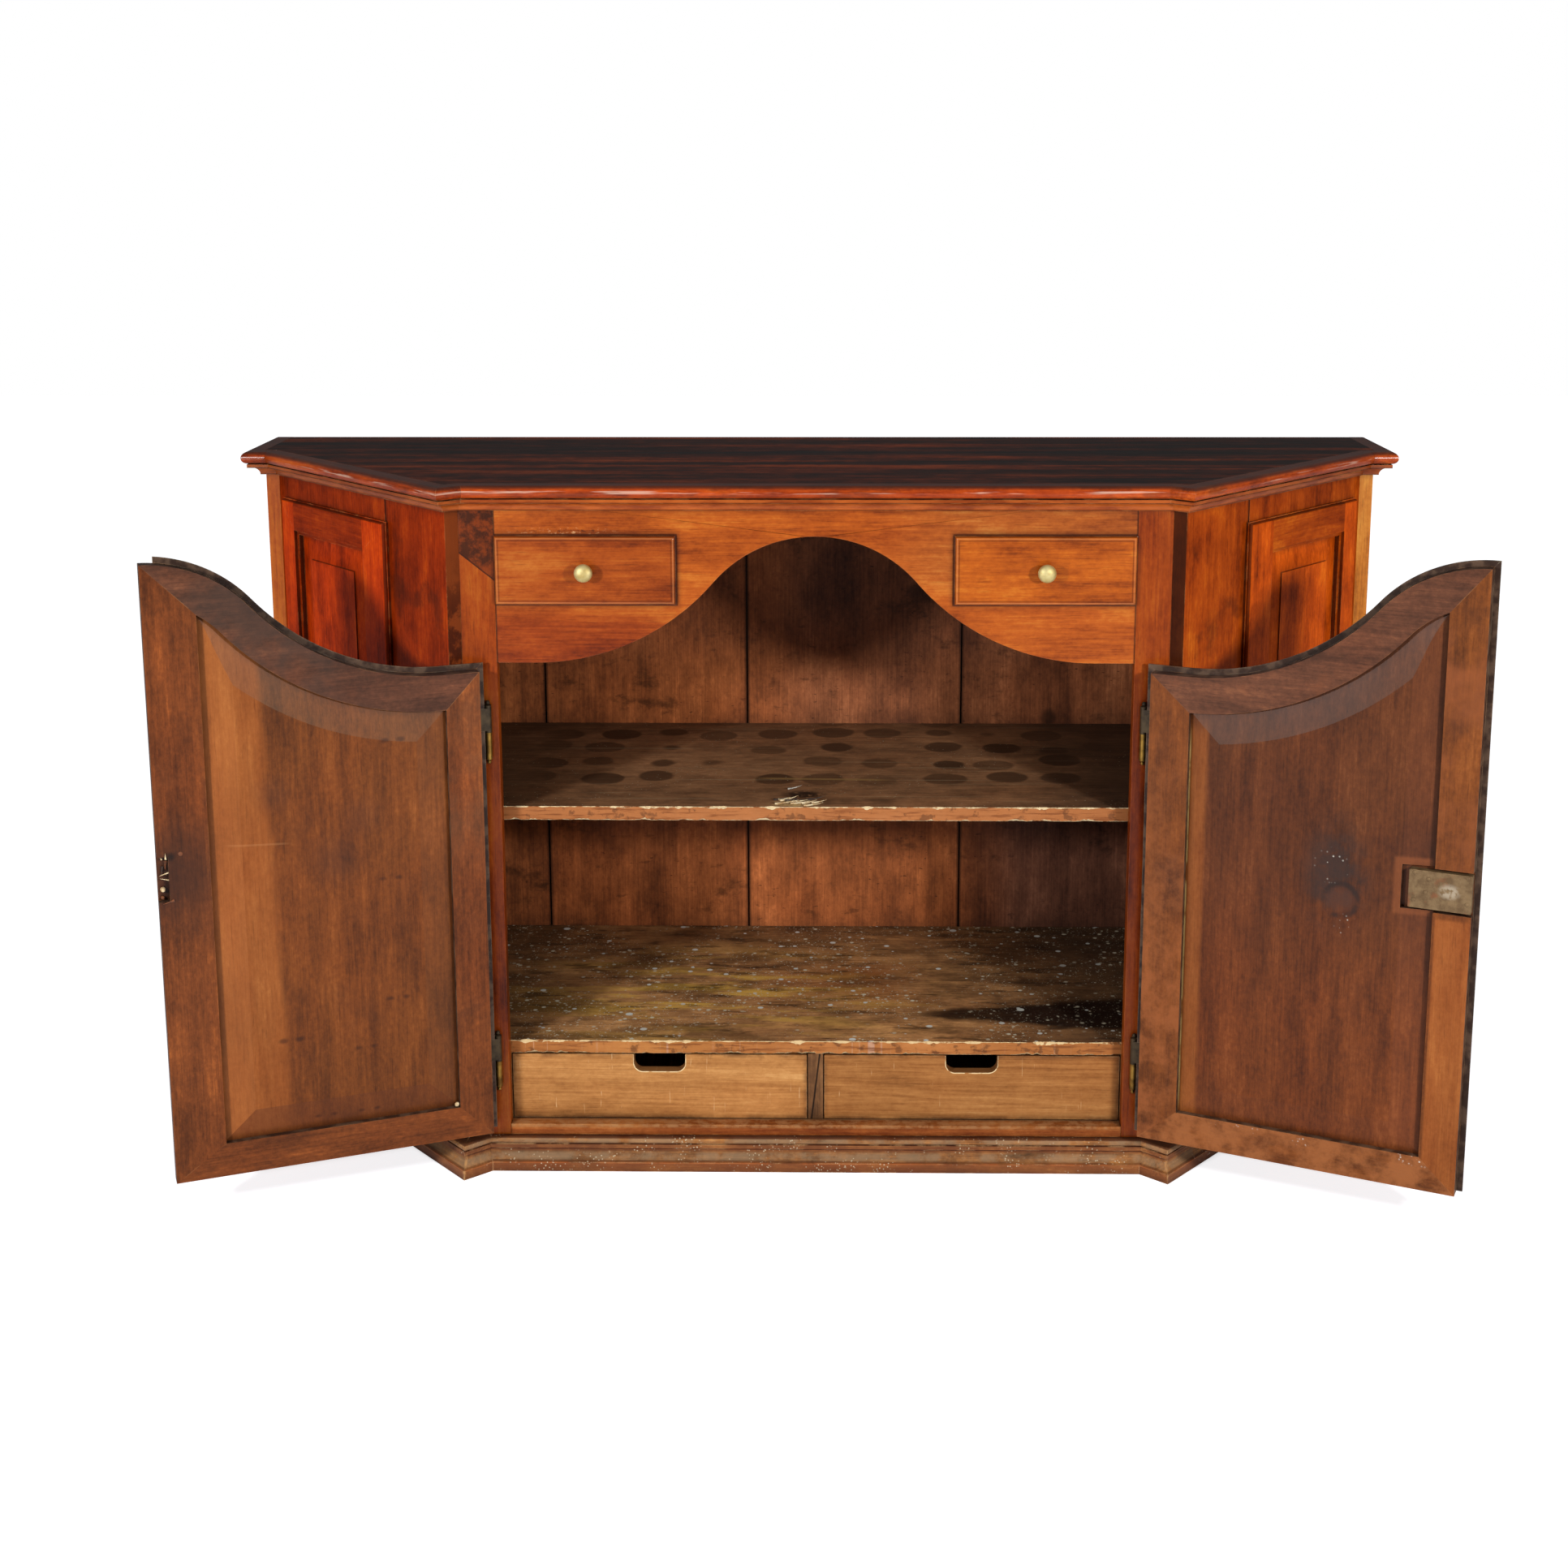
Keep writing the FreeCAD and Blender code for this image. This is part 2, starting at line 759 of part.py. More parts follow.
def frieze_drawer():
    x0 = frieze_inner + frieze_lip + frieze_slack
    x1 = frieze_outer - frieze_lip - frieze_slack
    z0 = frieze_foot + frieze_lip + frieze_slack
    z1 = frieze_head - frieze_lip - frieze_slack

    def layer(step, y0, y1):
        return block(
            frieze_inner + step, frieze_outer - step, y0, y1, frieze_foot + step, frieze_head - step)

    seat, face = lip_layers(layer)
    front = joined([block(x0, x1, -frame_gap, frieze_thick, z0, z1), seat, face])
    rear = frieze_thick + frieze_length
    box = tray(x0, x1, frieze_thick, rear, z0, z1 - frieze_wall / 2, frieze_wall, drawer_floor)
    middle = (frieze_inner + frieze_outer) / 2
    return front, box, knob(middle, lip_front, (frieze_foot + frieze_head) / 2)


def knob(x, y, z):
    stem = [vec(x + u * knob_radius, y - w * knob_length, z) for u, w in stem_shares]
    dome = [vec(x + u * knob_radius, y - w * knob_length, z) for u, w in dome_shares]
    curve = Part.BSplineCurve()
    curve.interpolate(dome)
    rise = stem + dome[:1]
    edges = [Part.makeLine(a, b) for a, b in zip(rise[:-1], rise[1:])]
    edges += [curve.toShape(), Part.makeLine(dome[-1], stem[0])]
    return Part.Face(Part.Wire(edges)).revolve(vec(x, y, z), vec(0, -1, 0), 360)


def frieze_cradle():
    x0 = frieze_inner + frieze_lip
    x1 = frieze_outer - frieze_lip
    z0 = frieze_foot + frieze_lip
    t = cradle_thick
    y1 = frame_thick + frieze_length
    return Part.makeCompound([
        block(x0 - t, x0, frame_thick, y1, z0 - t, top_under),
        block(x1, x1 + t, frame_thick, y1, z0 - t, top_under),
        block(x0, x1, frame_thick, y1, z0 - t, z0),
    ])


def low_drawer():
    x0 = divider_thick / 2 + drawer_slack
    x1 = open_half - drawer_slack
    z0 = sill_top + drawer_lift
    z1 = deck_under - drawer_slack
    y0 = deck_setback
    y1 = y0 + drawer_front
    front = block(x0, x1, y0, y1, z0, z1)
    middle = (x0 + x1) / 2
    notch = block(
        middle - finger_width / 2, middle + finger_width / 2, y0 - overcut, y1 + overcut,
        z1 - finger_depth, z1 + finger_depth)
    rim = [e for e in notch.Edges if all(abs(v.Z - z1 + finger_depth) < tiny for v in e.Vertexes)]
    rim = [e for e in rim if abs(e.Vertexes[0].X - e.Vertexes[1].X) < tiny]
    front = front.cut(notch.makeFillet(finger_round, rim))
    head = z1 - drawer_wall
    box = tray(x0, x1, y1, y1 + drawer_length, z0, head, drawer_wall, drawer_floor)
    return front, box


def drawer_guides():
    rear = deck_setback + drawer_front + drawer_length
    guide = block(open_half, open_half + guide_thick, deck_setback, rear, sill_top, deck_under)
    return Part.makeCompound([guide, flip(guide)])


def drawer_divider():
    half = divider_thick / 2
    rear = deck_setback + drawer_front + drawer_length
    return block(-half, half, deck_setback, rear, sill_top, deck_under)


def bottom_board():
    return inner_board(frame_thick, 0, plinth_height, plinth_height + bottom_thick)


os.makedirs("parts", exist_ok=True)

export("top_board", top_board())
export_runs("crown", flush, *crown_section())
plinth_reaches = (plinth_front, plinth_facet, plinth_side, plinth_side, plinth_side)
export_runs("plinth", plinth_reaches, *plinth_section())
export_pair("front_stile", front_stile())
export("apron", apron())
export("front_sill", block(-open_half, open_half, 0, frame_thick, plinth_height, sill_top))
export_pair("corner_board", corner_board())
export_pair("side_frame", side_frame())
export_pair("end_board", end_board())
export("back_boards", back_boards())
export("shelf", shelf())
export("shelf_bearers", shelf_bearers())
export("drawer_deck", inner_board(deck_setback, board_spare, deck_under, deck_top))
export("bottom_board", bottom_board())
export("drawer_divider", drawer_divider())
export("drawer_guides", drawer_guides())
export_pair("frieze_cradle", frieze_cradle())

left_pins = [hinge_pin(hinge_x, hinge_y, level) for level in (lower_hinge, upper_hinge)]
export("door_hinge_pins", Part.makeCompound(left_pins + [flip(pin) for pin in left_pins]))
right_pins = [to_side(hinge_pin(side_hinge_x, hinge_y, level)) for level in (lower_hinge, upper_hinge)]
export("side_hinge_pins", Part.makeCompound(right_pins + [flip(pin) for pin in right_pins]))

left_door = front_door(left_hinge_stile, left_meeting_stile, -lap_cutback)
left_door["meeting_stile"] = left_door["meeting_stile"].cut(strike_recess())
export_door("door_left", left_door, left_angle, False)
right_door = front_door(right_hinge_stile, right_meeting_stile, lap_cover)
right_door["meeting_stile"] = right_door["meeting_stile"].cut(lock_recess())
right_door["panel"] = right_door["panel"].cut(lock_recess())
export_door("door_right", right_door, right_angle, True)
lock_case, lock_bolt = lock_pieces()
export("lock_case", flip(swung(lock_case, right_angle)))
export("lock_bolt", flip(swung(lock_bolt, right_angle)))

side_leaf, side_panel, side_barrels = side_door()
export_pair("side_door_frame", to_side(side_leaf))
export_pair("side_door_panel", to_side(side_panel))
export_pair("side_door_hinges", to_side(side_barrels))

drawer_face, drawer_box, drawer_knob = frieze_drawer()
export_pair("frieze_front", drawer_face)
export_pair("frieze_box", drawer_box)
export_pair("frieze_knob", drawer_knob)
low_face, low_box = low_drawer()
export_pair("low_drawer_front", low_face)
export_pair("low_drawer_box", low_box)
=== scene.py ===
import json
import math
import random

import bmesh
import bpy
from mathutils import Matrix, Vector


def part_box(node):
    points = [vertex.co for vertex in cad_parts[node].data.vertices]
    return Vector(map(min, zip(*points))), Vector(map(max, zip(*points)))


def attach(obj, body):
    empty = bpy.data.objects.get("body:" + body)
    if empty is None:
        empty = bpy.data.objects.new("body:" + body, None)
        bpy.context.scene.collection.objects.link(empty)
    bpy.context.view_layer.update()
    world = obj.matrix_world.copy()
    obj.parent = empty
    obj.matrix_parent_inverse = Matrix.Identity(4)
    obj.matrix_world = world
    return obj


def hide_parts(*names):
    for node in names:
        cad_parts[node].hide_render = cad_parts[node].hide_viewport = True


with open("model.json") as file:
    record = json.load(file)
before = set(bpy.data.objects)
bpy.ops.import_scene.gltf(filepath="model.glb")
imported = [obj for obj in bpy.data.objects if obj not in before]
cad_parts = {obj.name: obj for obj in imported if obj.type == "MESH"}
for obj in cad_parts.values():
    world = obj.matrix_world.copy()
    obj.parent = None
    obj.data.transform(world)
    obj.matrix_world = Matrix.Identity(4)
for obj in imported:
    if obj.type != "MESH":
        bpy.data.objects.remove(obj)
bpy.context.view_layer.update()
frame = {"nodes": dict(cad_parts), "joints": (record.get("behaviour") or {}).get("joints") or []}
nodes = frame["nodes"]
joints = {j["name"]: j for j in frame["joints"]}
print("frame loaded:", len(nodes), "nodes")


def tint(*shade):  # a colour read as 0-255 screen values
    parts = [c / 255 for c in shade]
    return (*(c / 12.92 if c < 0.0404 else ((c + 0.055) / 1.055) ** 2.4 for c in parts), 1.0)


class Wire:  # one socket of a finish, with arithmetic
    def __init__(self, finish, socket):
        self.finish = finish
        self.socket = socket

    def op(self, operation, *others):
        return self.finish.node("Math", {"operation": operation}, [self, *others])

    def __add__(self, other):
        return self.op("ADD", other)

    def __mul__(self, other):
        return self.op("MULTIPLY", other)

    __radd__, __rmul__ = __add__, __mul__

    def __sub__(self, other):
        return self.op("SUBTRACT", other)

    def __rsub__(self, other):
        return self.finish.node("Math", {"operation": "SUBTRACT"}, [other, self])

    def __truediv__(self, other):
        return self.op("DIVIDE", other)

    def __pow__(self, other):
        return self.op("POWER", other)

    def root(self):
        return self.op("SQRT")

    def size(self):
        return self.op("ABSOLUTE")

    def least(self, other):
        return self.op("MINIMUM", other)

    def most(self, other):
        return self.op("MAXIMUM", other)

    def step(self, low, high):  # smooth 0 to 1 as the value goes from low to high
        settings = {"interpolation_type": "SMOOTHSTEP", "clamp": True}
        return self.finish.node("MapRange", settings, {0: self, 1: low, 2: high, 3: 0.0, 4: 1.0})

    def fall(self, low, high):  # smooth 1 to 0
        return 1 - self.step(low, high)

    def near(self, at, core, rim):  # 1 within core of a value, 0 past the rim
        return (self - at).size().fall(core, rim)

    def within(self, low, high, soft):  # 1 between low and high, soft at both ends
        return self.step(low - soft, low + soft) * self.fall(high - soft, high + soft)


class Net:  # the node tree of a material or of the world
    def __init__(self, owner):
        owner.use_nodes = True
        self.tree = owner.node_tree

    def node(self, kind, settings, inputs, out=0):
        made = self.tree.nodes.new("ShaderNode" + kind)
        for key, value in settings.items():
            setattr(made, key, value)
        for key, value in inputs.items() if isinstance(inputs, dict) else enumerate(inputs):
            self.feed(made.inputs[key], value)
        return Wire(self, made.outputs[out])

    def feed(self, socket, value):
        if isinstance(value, Wire):
            self.tree.links.new(value.socket, socket)
        else:
            socket.default_value = value


class Finish(Net):
    def __init__(self, name):
        self.material = bpy.data.materials.new(name)
        super().__init__(self.material)
        self.shader = self.tree.nodes["Principled BSDF"]
        self.place = self.node("TexCoord", {}, {}, "Object")
        self.colour = self.rough = None  # what has been laid so far

    def dot(self, way, at=None):
        sockets = {0: at or self.place, 1: way if isinstance(way, Wire) else tuple(way)}
        return self.node("VectorMath", {"operation": "DOT_PRODUCT"}, sockets, "Value")

    def pack(self, x, y, z):
        return self.node("CombineXYZ", {}, [x, y, z])

    def noise(self, at, scale, detail=3.0, rough=0.55):
        return self.node("TexNoise", {}, {"Vector": at, "Scale": scale, "Detail": detail, "Roughness": rough})

    def cells(self, at, scale, jitter=1.0, out="Distance"):
        sockets = {"Vector": at, "Scale": scale, "Randomness": jitter}
        return self.node("TexVoronoi", {"feature": "F1"}, sockets, out)

    def flow(self, u, v, w, detail, rough=0.55):  # noise over stretched places
        return self.noise(self.pack(u, v, w), 1, detail, rough)

    def cloud(self, scale, low, high, detail=3.0, rough=0.55):  # soft patches
        return self.noise(self.place, scale, detail, rough).step(low, high)

    def specks(self, at, scale, core, rim):  # 1 at the middle of each cell
        return self.cells(at, scale).fall(core, rim)

    def ramp(self, value, stops):
        made = self.node("ValToRGB", {}, [value])
        elements = made.socket.node.color_ramp.elements
        while len(elements) < len(stops):
            elements.new(0.5)
        for element, (at, colour) in zip(elements, stops):
            element.position, element.color = at, colour
        return made

    def blend(self, factor, low, high, mode="MIX"):
        settings = {"data_type": "RGBA", "blend_type": mode}
        return self.node("Mix", settings, {0: factor, 6: low, 7: high}, 2)

    def facing(self, way):  # how far the surface looks along a direction of its own piece
        return self.dot(way, self.node("TexCoord", {}, {}, "Normal"))

    def edge(self, radius):  # near 0 on flats, rising on arrises, where wear and painted highlights are laid
        rounded = self.node("Bevel", {"samples": 4}, {"Radius": radius})
        match = self.dot(self.node("NewGeometry", {}, {}, "Normal"), rounded)
        return (1 - match).step(0.02, 0.25)

    def hollow(self, distance):  # 1 deep in corners, 0 in the open
        return 1 - self.node("AmbientOcclusion", {"samples": 4}, {"Distance": distance}, "AO")

    def bump(self, height, strength, distance):
        inputs = {"Height": height, "Strength": strength, "Distance": distance}
        self.feed(self.shader.inputs["Normal"], self.node("Bump", {}, inputs))

    def lay(self, mask, shade):  # a colour over what is there
        self.colour = self.blend(mask, self.colour, tint(*shade) if isinstance(shade, tuple) else shade)

    def gain(self, mask, share):  # what is there, multiplied
        share = (*share, 1) if isinstance(share, tuple) else share
        self.colour = self.blend(mask, self.colour, share, "MULTIPLY")

    def surface(self, **fixed):
        self.feed(self.shader.inputs["Base Color"], self.colour)
        self.feed(self.shader.inputs["Roughness"], self.rough)
        for name, value in fixed.items():
            self.feed(self.shader.inputs[name.replace("_", " ")], value)


def dress(node, finish):
    obj = nodes[node]
    obj.data.materials.clear()
    obj.data.materials.append(finish.material)


print("finish tools ready")

woodLook = {  # what a wood has where its own look says nothing
    "pith": 0.12, "tilt": 0.012, "rings": 80, "wander": 0.05, "ripple": 0.006, "mottleRun": 22,
    "patch": (3, 9), "figure": 0.5, "streak": 0.6, "mottle": 0.8, "grit": 0.35, "blotch": 0.6, "redden": 0.25,
    "pores": 0.35, "poreTint": (70, 32, 14), "gloss": (0.3, 0.5), "coat": 0.2, "coatRough": 0.18,
    "shine": 0.1, "relief": 0.25, "grime": 0, "grimeReach": 0.02, "grimeAndShadeTint": (38, 22, 14),
    "wear": 0, "wearReach": 0.002, "wearTint": (214, 150, 92),
}
grains = {  # features per metre along and across the board, detail and roughness
    "wander": (1.7, 4, 2), "ripple": (8, 26, 2), "fibre": (8, 300, 4, 0.7), "grit": (120, 170, 3, 0.7),
    "pores": (26, 520, 2),
}


def timber(f, along, across, seed, look):  # growth rings, fibres and blotches seen on any face of a board
    look = {**woodLook, **look}
    rnd = random.Random(seed)
    along = Vector(along).normalized()
    across = Vector(across).normalized()
    a = f.dot(along) + rnd.uniform(2, 9)
    b = f.dot(across) + rnd.uniform(-0.12, 0.12)
    c = f.dot(along.cross(across)) + look["pith"] + a * look["tilt"]

    def grain(run, spread, detail, rough=0.55):
        return f.flow(a * run, b * spread, c * spread, detail, rough)

    wander, ripple = (grain(*grains[key]) - 0.5 for key in ("wander", "ripple"))
    far = (b * b + c * c).root() + wander * look["wander"] + ripple * look["ripple"]
    band = f.flow(far * look["rings"], a * 0.7, 0.0, 3, 0.6)
    fibre = grain(*grains["fibre"])
    mottle = grain(look["mottleRun"], 36, 5, 0.68)
    grit = grain(*grains["grit"])
    blotch = grain(*look["patch"], 4, 0.6)
    layers = {"figure": band, "streak": fibre, "mottle": mottle, "grit": grit, "blotch": blotch}
    tone = 0.5
    for share, layer in layers.items():
        tone = tone + (layer - 0.5) * look[share]
    colour = f.ramp(tone, [(at, tint(*shade)) for at, shade in look["tones"]])
    hue = f.flow(a * 3.1 + 5, b * 7, c * 7, 3).step(0.44, 0.66)
    colour = f.blend(hue * look["redden"], colour, (1.0, 0.76, 0.6, 1), "MULTIPLY")
    pores = grain(*grains["pores"]).step(0.58, 0.74)
    colour = f.blend(pores * look["pores"], colour, tint(*look["poreTint"]), "MULTIPLY")
    return colour, tone, fibre, blotch


def insetOf(x, z, low, high):  # how far inside a front's outline
    return (x - low.x).least(high.x - x).least((z - low.z).least(high.z - z))


def spot(u, v, cu, cv, reach, soft):  # 1 inside a round spot
    du, dv = u - cu, v - cv
    return (du * du + dv * dv).root().fall(reach - soft, reach + soft)


def finishWood(name, along, across, seed, look, paint=None):
    look = {**woodLook, **look}
    f = Finish(name)
    f.colour, tone, fibre, blotch = timber(f, along, across, seed, look)
    glossy, dull = look["gloss"]
    f.rough = glossy + (1 - fibre) * (dull - glossy) + (blotch - 0.5) * 0.15
    if paint:
        paint(f)
    # darker in hollows and where pieces meet: grime, and painted shade where shade falls, such as round the
    # drawers
    if look["grime"]:
        smear = f.cloud(7, 0.2, 0.6, 4, 0.65)
        f.lay(f.hollow(look["grimeReach"]) * look["grime"] * smear, look["grimeAndShadeTint"])
    # paler arrises: wear, and on the plinth also a painted highlight
    if look["wear"]:
        f.lay(f.edge(look["wearReach"]) * f.cloud(38, 0.46, 0.62) * look["wear"], look["wearTint"])
    f.surface(Coat_Weight=look["coat"], Coat_Roughness=look["coatRough"], Specular_IOR_Level=look["shine"])
    f.bump(fibre * 0.6 + tone * 0.4, look["relief"], 0.0012)
    return f


def dressWood(node, *wood):  # the grain's two directions, a seed, a look and perhaps a paint
    dress(node, finishWood(node, *wood))


def tones(stops, *shades):
    return list(zip(stops, shades))


def toned(base, stops, *shades, **more):  # a look with other tones
    return dict(base, tones=tones(stops, *shades), **more)


axisX, axisY, axisZ = Vector((1, 0, 0)), Vector((0, 1, 0)), Vector((0, 0, 1))
uprightGrain, levelGrain = (axisZ, axisX), (axisX, axisZ)  # along and across it
flatGrain, deepGrain = (axisX, axisY), (axisY, axisZ)
cantAngle = math.radians(49.3)
sides = ("left", "right")
sideWay, sideOut = {}, {}  # along a canted side to its rear, and out of it
for side, sign in zip(sides, (-1, 1)):
    sideWay[side] = Vector((sign * math.cos(cantAngle), math.sin(cantAngle), 0))
    sideOut[side] = Vector((sign * math.sin(cantAngle), -math.cos(cantAngle), 0))

# where the four shades of a wood stand, from dark to light
frontStops, sideStops = (0.12, 0.36, 0.58, 0.86), (0.1, 0.36, 0.6, 0.88)
boardStops, darkStops, endStops = (0.1, 0.38, 0.62, 0.9), (0.1, 0.4, 0.65, 0.9), (0.1, 0.4, 0.7, 0.9)

# polished outside
frontLook = {
    "tones": tones(frontStops, (89, 31, 4), (138, 58, 10), (166, 77, 17), (188, 107, 33)),
    "rings": 73, "wander": 0.09, "figure": 0.4, "streak": 0.55, "mottle": 0.85, "mottleRun": 11,
    "blotch": 1.1, "patch": (4, 9), "gloss": (0.26, 0.44), "coat": 0.35,
    "grime": 0.8, "grimeReach": 0.012, "wear": 0.4, "wearReach": 0.0018,
}
stileLook = toned(frontLook, frontStops, (79, 24, 2), (122, 46, 5), (147, 62, 10), (167, 86, 22), coat=0.2)
apronLook = toned(frontLook, frontStops, (93, 34, 6), (144, 63, 13), (173, 83, 21), (196, 115, 39))
drawerLook = toned(frontLook, frontStops, (95, 36, 5), (148, 66, 11), (178, 87, 18), (201, 120, 36))
sideBase = dict(frontLook, figure=0.35, streak=0.5, mottle=0.8, patch=(8, 10), gloss=(0.34, 0.55),
                coat=0.06, shine=0.03, grime=1.0, grimeReach=0.01)
sideLooks = {
    "left": toned(sideBase, sideStops, (70, 16, 0), (121, 34, 1), (153, 48, 4), (188, 72, 8)),
    "right": toned(sideBase, sideStops, (76, 24, 1), (140, 52, 4), (175, 72, 9), (207, 103, 20)),
}
# a side door's wood, painted lighter than its canted side to stand in for light that falls short there
leafLitLooks = {
    "left": toned(sideBase, sideStops, (87, 20, 0), (157, 44, 1), (195, 60, 4), (229, 87, 8)),
    "right": toned(sideBase, sideStops, (98, 31, 1), (175, 66, 4), (216, 89, 11), (247, 122, 23)),
}
facetTints = {"left": (112, 52, 20), "right": (46, 23, 12)}
endLooks = {
    "left": toned(frontLook, endStops, (120, 51, 7), (178, 82, 19), (206, 112, 32), (222, 132, 44)),
    "right": toned(frontLook, endStops, (150, 82, 20), (212, 130, 42), (238, 166, 66), (250, 190, 92)),
}
crownLook = toned(frontLook, sideStops, (78, 20, 3), (140, 48, 8), (178, 70, 15), (212, 104, 34),
                  gloss=(0.22, 0.4), coat=0.3, grime=1.0, grimeReach=0.008)
topLook = {
    "tones": tones((0.12, 0.4, 0.62, 0.9), (22, 6, 2), (58, 20, 6), (98, 38, 12), (152, 66, 26)),
    "rings": 48, "wander": 0.12, "figure": 0.3, "streak": 0.75, "blotch": 2.2, "patch": (1.1, 20),
    "pores": 0.5, "gloss": (0.36, 0.56), "coat": 0.05, "coatRough": 0.25, "shine": 0.05, "relief": 0.2,
}
# the plinth's pale arrises are a painted highlight as well as wear
plinthLook = {
    "tones": tones((0.1, 0.4, 0.62, 0.9), (68, 49, 31), (123, 80, 45), (167, 110, 59), (229, 160, 87)),
    "rings": 90, "figure": 0.4, "streak": 0.7, "blotch": 1.0, "patch": (6, 16), "gloss": (0.4, 0.65),
    "coat": 0.12, "grime": 1.0, "grimeReach": 0.012,
    "wear": 0.9, "wearReach": 0.003, "wearTint": (198, 152, 104),
}
scarfLook = {"height": 0.905, "edge": 0.4894, "slope": 0.806}


def stilePatch(f):  # a darker piece let in at the left stile's head, ending on a scarf
    x, z = f.dot(axisX), f.dot(axisZ)
    scarf = (z - scarfLook["height"]) + (x + scarfLook["edge"]) * scarfLook["slope"]
    stain = f.cloud(30, 0.4, 0.56, 5, 0.72)
    dark = f.blend(stain, tint(116, 48, 14), tint(46, 22, 11))
    f.lay(scarf.step(-0.0005, 0.0008) * 0.9, dark)
    f.lay(scarf.size().fall(0.0006, 0.0016) * 0.85, (30, 14, 8))


def cornerPaint(side):  # a painted shadow in the gap at the side door, and the narrow front facet with its stains
    rear = max(v.co.dot(sideWay[side]) for v in nodes[f"corner_board_{side}"].data.vertices)

    def paint(f):
        z = f.dot(axisZ)
        # painted shadow darkening the corner board towards the side door's gap
        f.lay((rear - f.dot(sideWay[side])).fall(0.002, 0.009) * 0.85, (22, 10, 5))
        facet = f.facing(-sideWay[side]).step(0.7, 0.95)
        stain = f.cloud(34, 0.42, 0.56, 4, 0.65) * z.fall(0.80, 0.92)
        strip = f.blend(stain * 0.85, tint(*facetTints[side]), tint(24, 14, 9))
        f.lay(facet * 0.9, strip)
        smoke = f.cloud(9, 0.54, 0.68, 5, 0.66)
        f.lay(smoke * 0.5 * (1 - facet), (52, 22, 9))
    return paint


def endPaint(side):  # an end's broad face is as dark as the canted side
    def paint(f):
        broad = timber(f, axisZ, axisY, 53, sideLooks[side])[0]
        f.lay(f.facing(axisX).size().step(0.6, 0.9), broad)
    return paint


leafStiles = (0.062, 0.041)  # widths of a side door's front and rear stile


def leafPaint(side, kind):  # a side door: painted shade on every face turned from the outside, and rails with level grain between the stiles
    spots = [v.co.dot(sideWay[side]) for v in nodes[f"side_door_{kind}_{side}"].data.vertices]
    first, last = min(spots) + leafStiles[0], max(spots) - leafStiles[1]

    def paint(f):
        if kind == "frame":
            rail = timber(f, sideWay[side], axisZ, 97, dict(sideLooks[side], figure=0.6))[0]
            f.lay(f.dot(sideWay[side]).within(first, last, 0.0005), rail)
        # painted shade on the arrises, edges and panel slopes that face away from the outside
        f.lay(f.facing(sideOut[side]).fall(0.8, 0.975) * 0.75, (48, 22, 11))
    return paint


def friezePaint(side):  # a painted shadow round the outline, painted shade in the line inside the bead and a painted highlight on the bead
    low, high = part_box(f"frieze_front_{side}")

    def paint(f):
        x, z = f.dot(axisX), f.dot(axisZ)
        inset = insetOf(x, z, low, high)
        if side == "left":
            f.gain(1.0, (0.77, 0.68, 0.92))
        # painted shadow at the front's outline
        f.lay(inset.fall(0.0004, 0.0026) * 0.85, (44, 17, 7))
        # painted shade in the crease inside the bead
        f.lay(inset.near(0.0066, 0.0003, 0.0015) * 0.5, (66, 26, 9))
        # painted highlight along the bead's crest
        f.lay(inset.near(0.0038, 0.0004, 0.0016) * 0.25, (220, 150, 92))
    return paint


def apronPaint(f):  # seams at the stiles, shade round the drawers, broken polish over the left one
    x, z = f.dot(axisX), f.dot(axisZ)
    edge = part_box("apron")[1].x
    f.gain(x.fall(-0.25, -0.15) * z.fall(0.80, 0.84), (0.71, 0.54, 0.5))
    f.gain(x.step(0.05, 0.2) * z.step(0.84, 0.88), (0.9, 1.05, 1.6))
    f.lay(x.size().near(edge, 0.0006, 0.0028) * 0.8, (46, 20, 9))
    for side in sides:
        first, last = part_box(f"frieze_front_{side}")
        middle, half = (first + last) / 2, (last - first) / 2
        away = ((x - middle.x).size() - half.x).most((z - middle.z).size() - half.z)
        halo = away.fall(0.001, 0.008) * away.step(-0.004, 0.0) * 0.4
        shade = away.within(-0.004, 0.0012, 0.0008) + halo
        f.lay(shade.least(1.0) * 0.75, (50, 21, 9))
    grain = f.flow(x * 90, 0.0, z * 240, 4, 0.7)
    zone = x.within(-0.405, -0.29, 0.03) * z.within(0.931, 0.938, 0.003)
    f.lay(grain.step(0.56, 0.62) * zone * 0.8, (222, 170, 116))
    f.lay((1 - grain).step(0.54, 0.62) * zone * 0.8, (58, 24, 11))


crownLines = ((0.9820, 0.9), (0.9755, 0.75), (0.9638, 0.6))  # heights of the grooves and how dark their painted shade is
plinthLines = ((0.0150, 0.5), (0.0318, 0.8), (0.0396, 0.75), (0.0495, 0.8))


# painted shade along the grooves of a moulding
def grooveShade(f, lines, shade):
    z = f.dot(axisZ)
    for at, weight in lines:
        f.lay(z.near(at, 0.0005, 0.0019) * weight, shade)


def crownPaint(f):  # a dark nose with a broken painted highlight over paler mouldings, painted shade in the grooves, black on top
    x, y, z = (f.dot(way) for way in (axisX, axisY, axisZ))
    cloud = f.flow(x * 14, y * 14, z * 60, 4, 0.65)
    nose = z.step(0.9815, 0.9835)
    pale = f.blend(cloud.step(0.35, 0.65), tint(122, 54, 16), tint(178, 92, 34))
    f.lay((1 - nose) * 0.75, pale)
    f.lay(nose * cloud.step(0.5, 0.66) * 0.5, (70, 27, 12))
    grooveShade(f, crownLines, (34, 17, 10))
    upper = z.step(0.9945, 0.9985)
    f.lay(upper * 0.8, (56, 27, 14))
    f.rough = f.rough + upper * 0.25
    # a broken painted highlight along the nose
    noseHighlight = f.flow(x * 12, y * 12, z * 260, 3, 0.6)
    f.lay(z.within(0.9895, 0.9935, 0.0012) * noseHighlight.step(0.5, 0.64) * 0.75, (206, 164, 142))


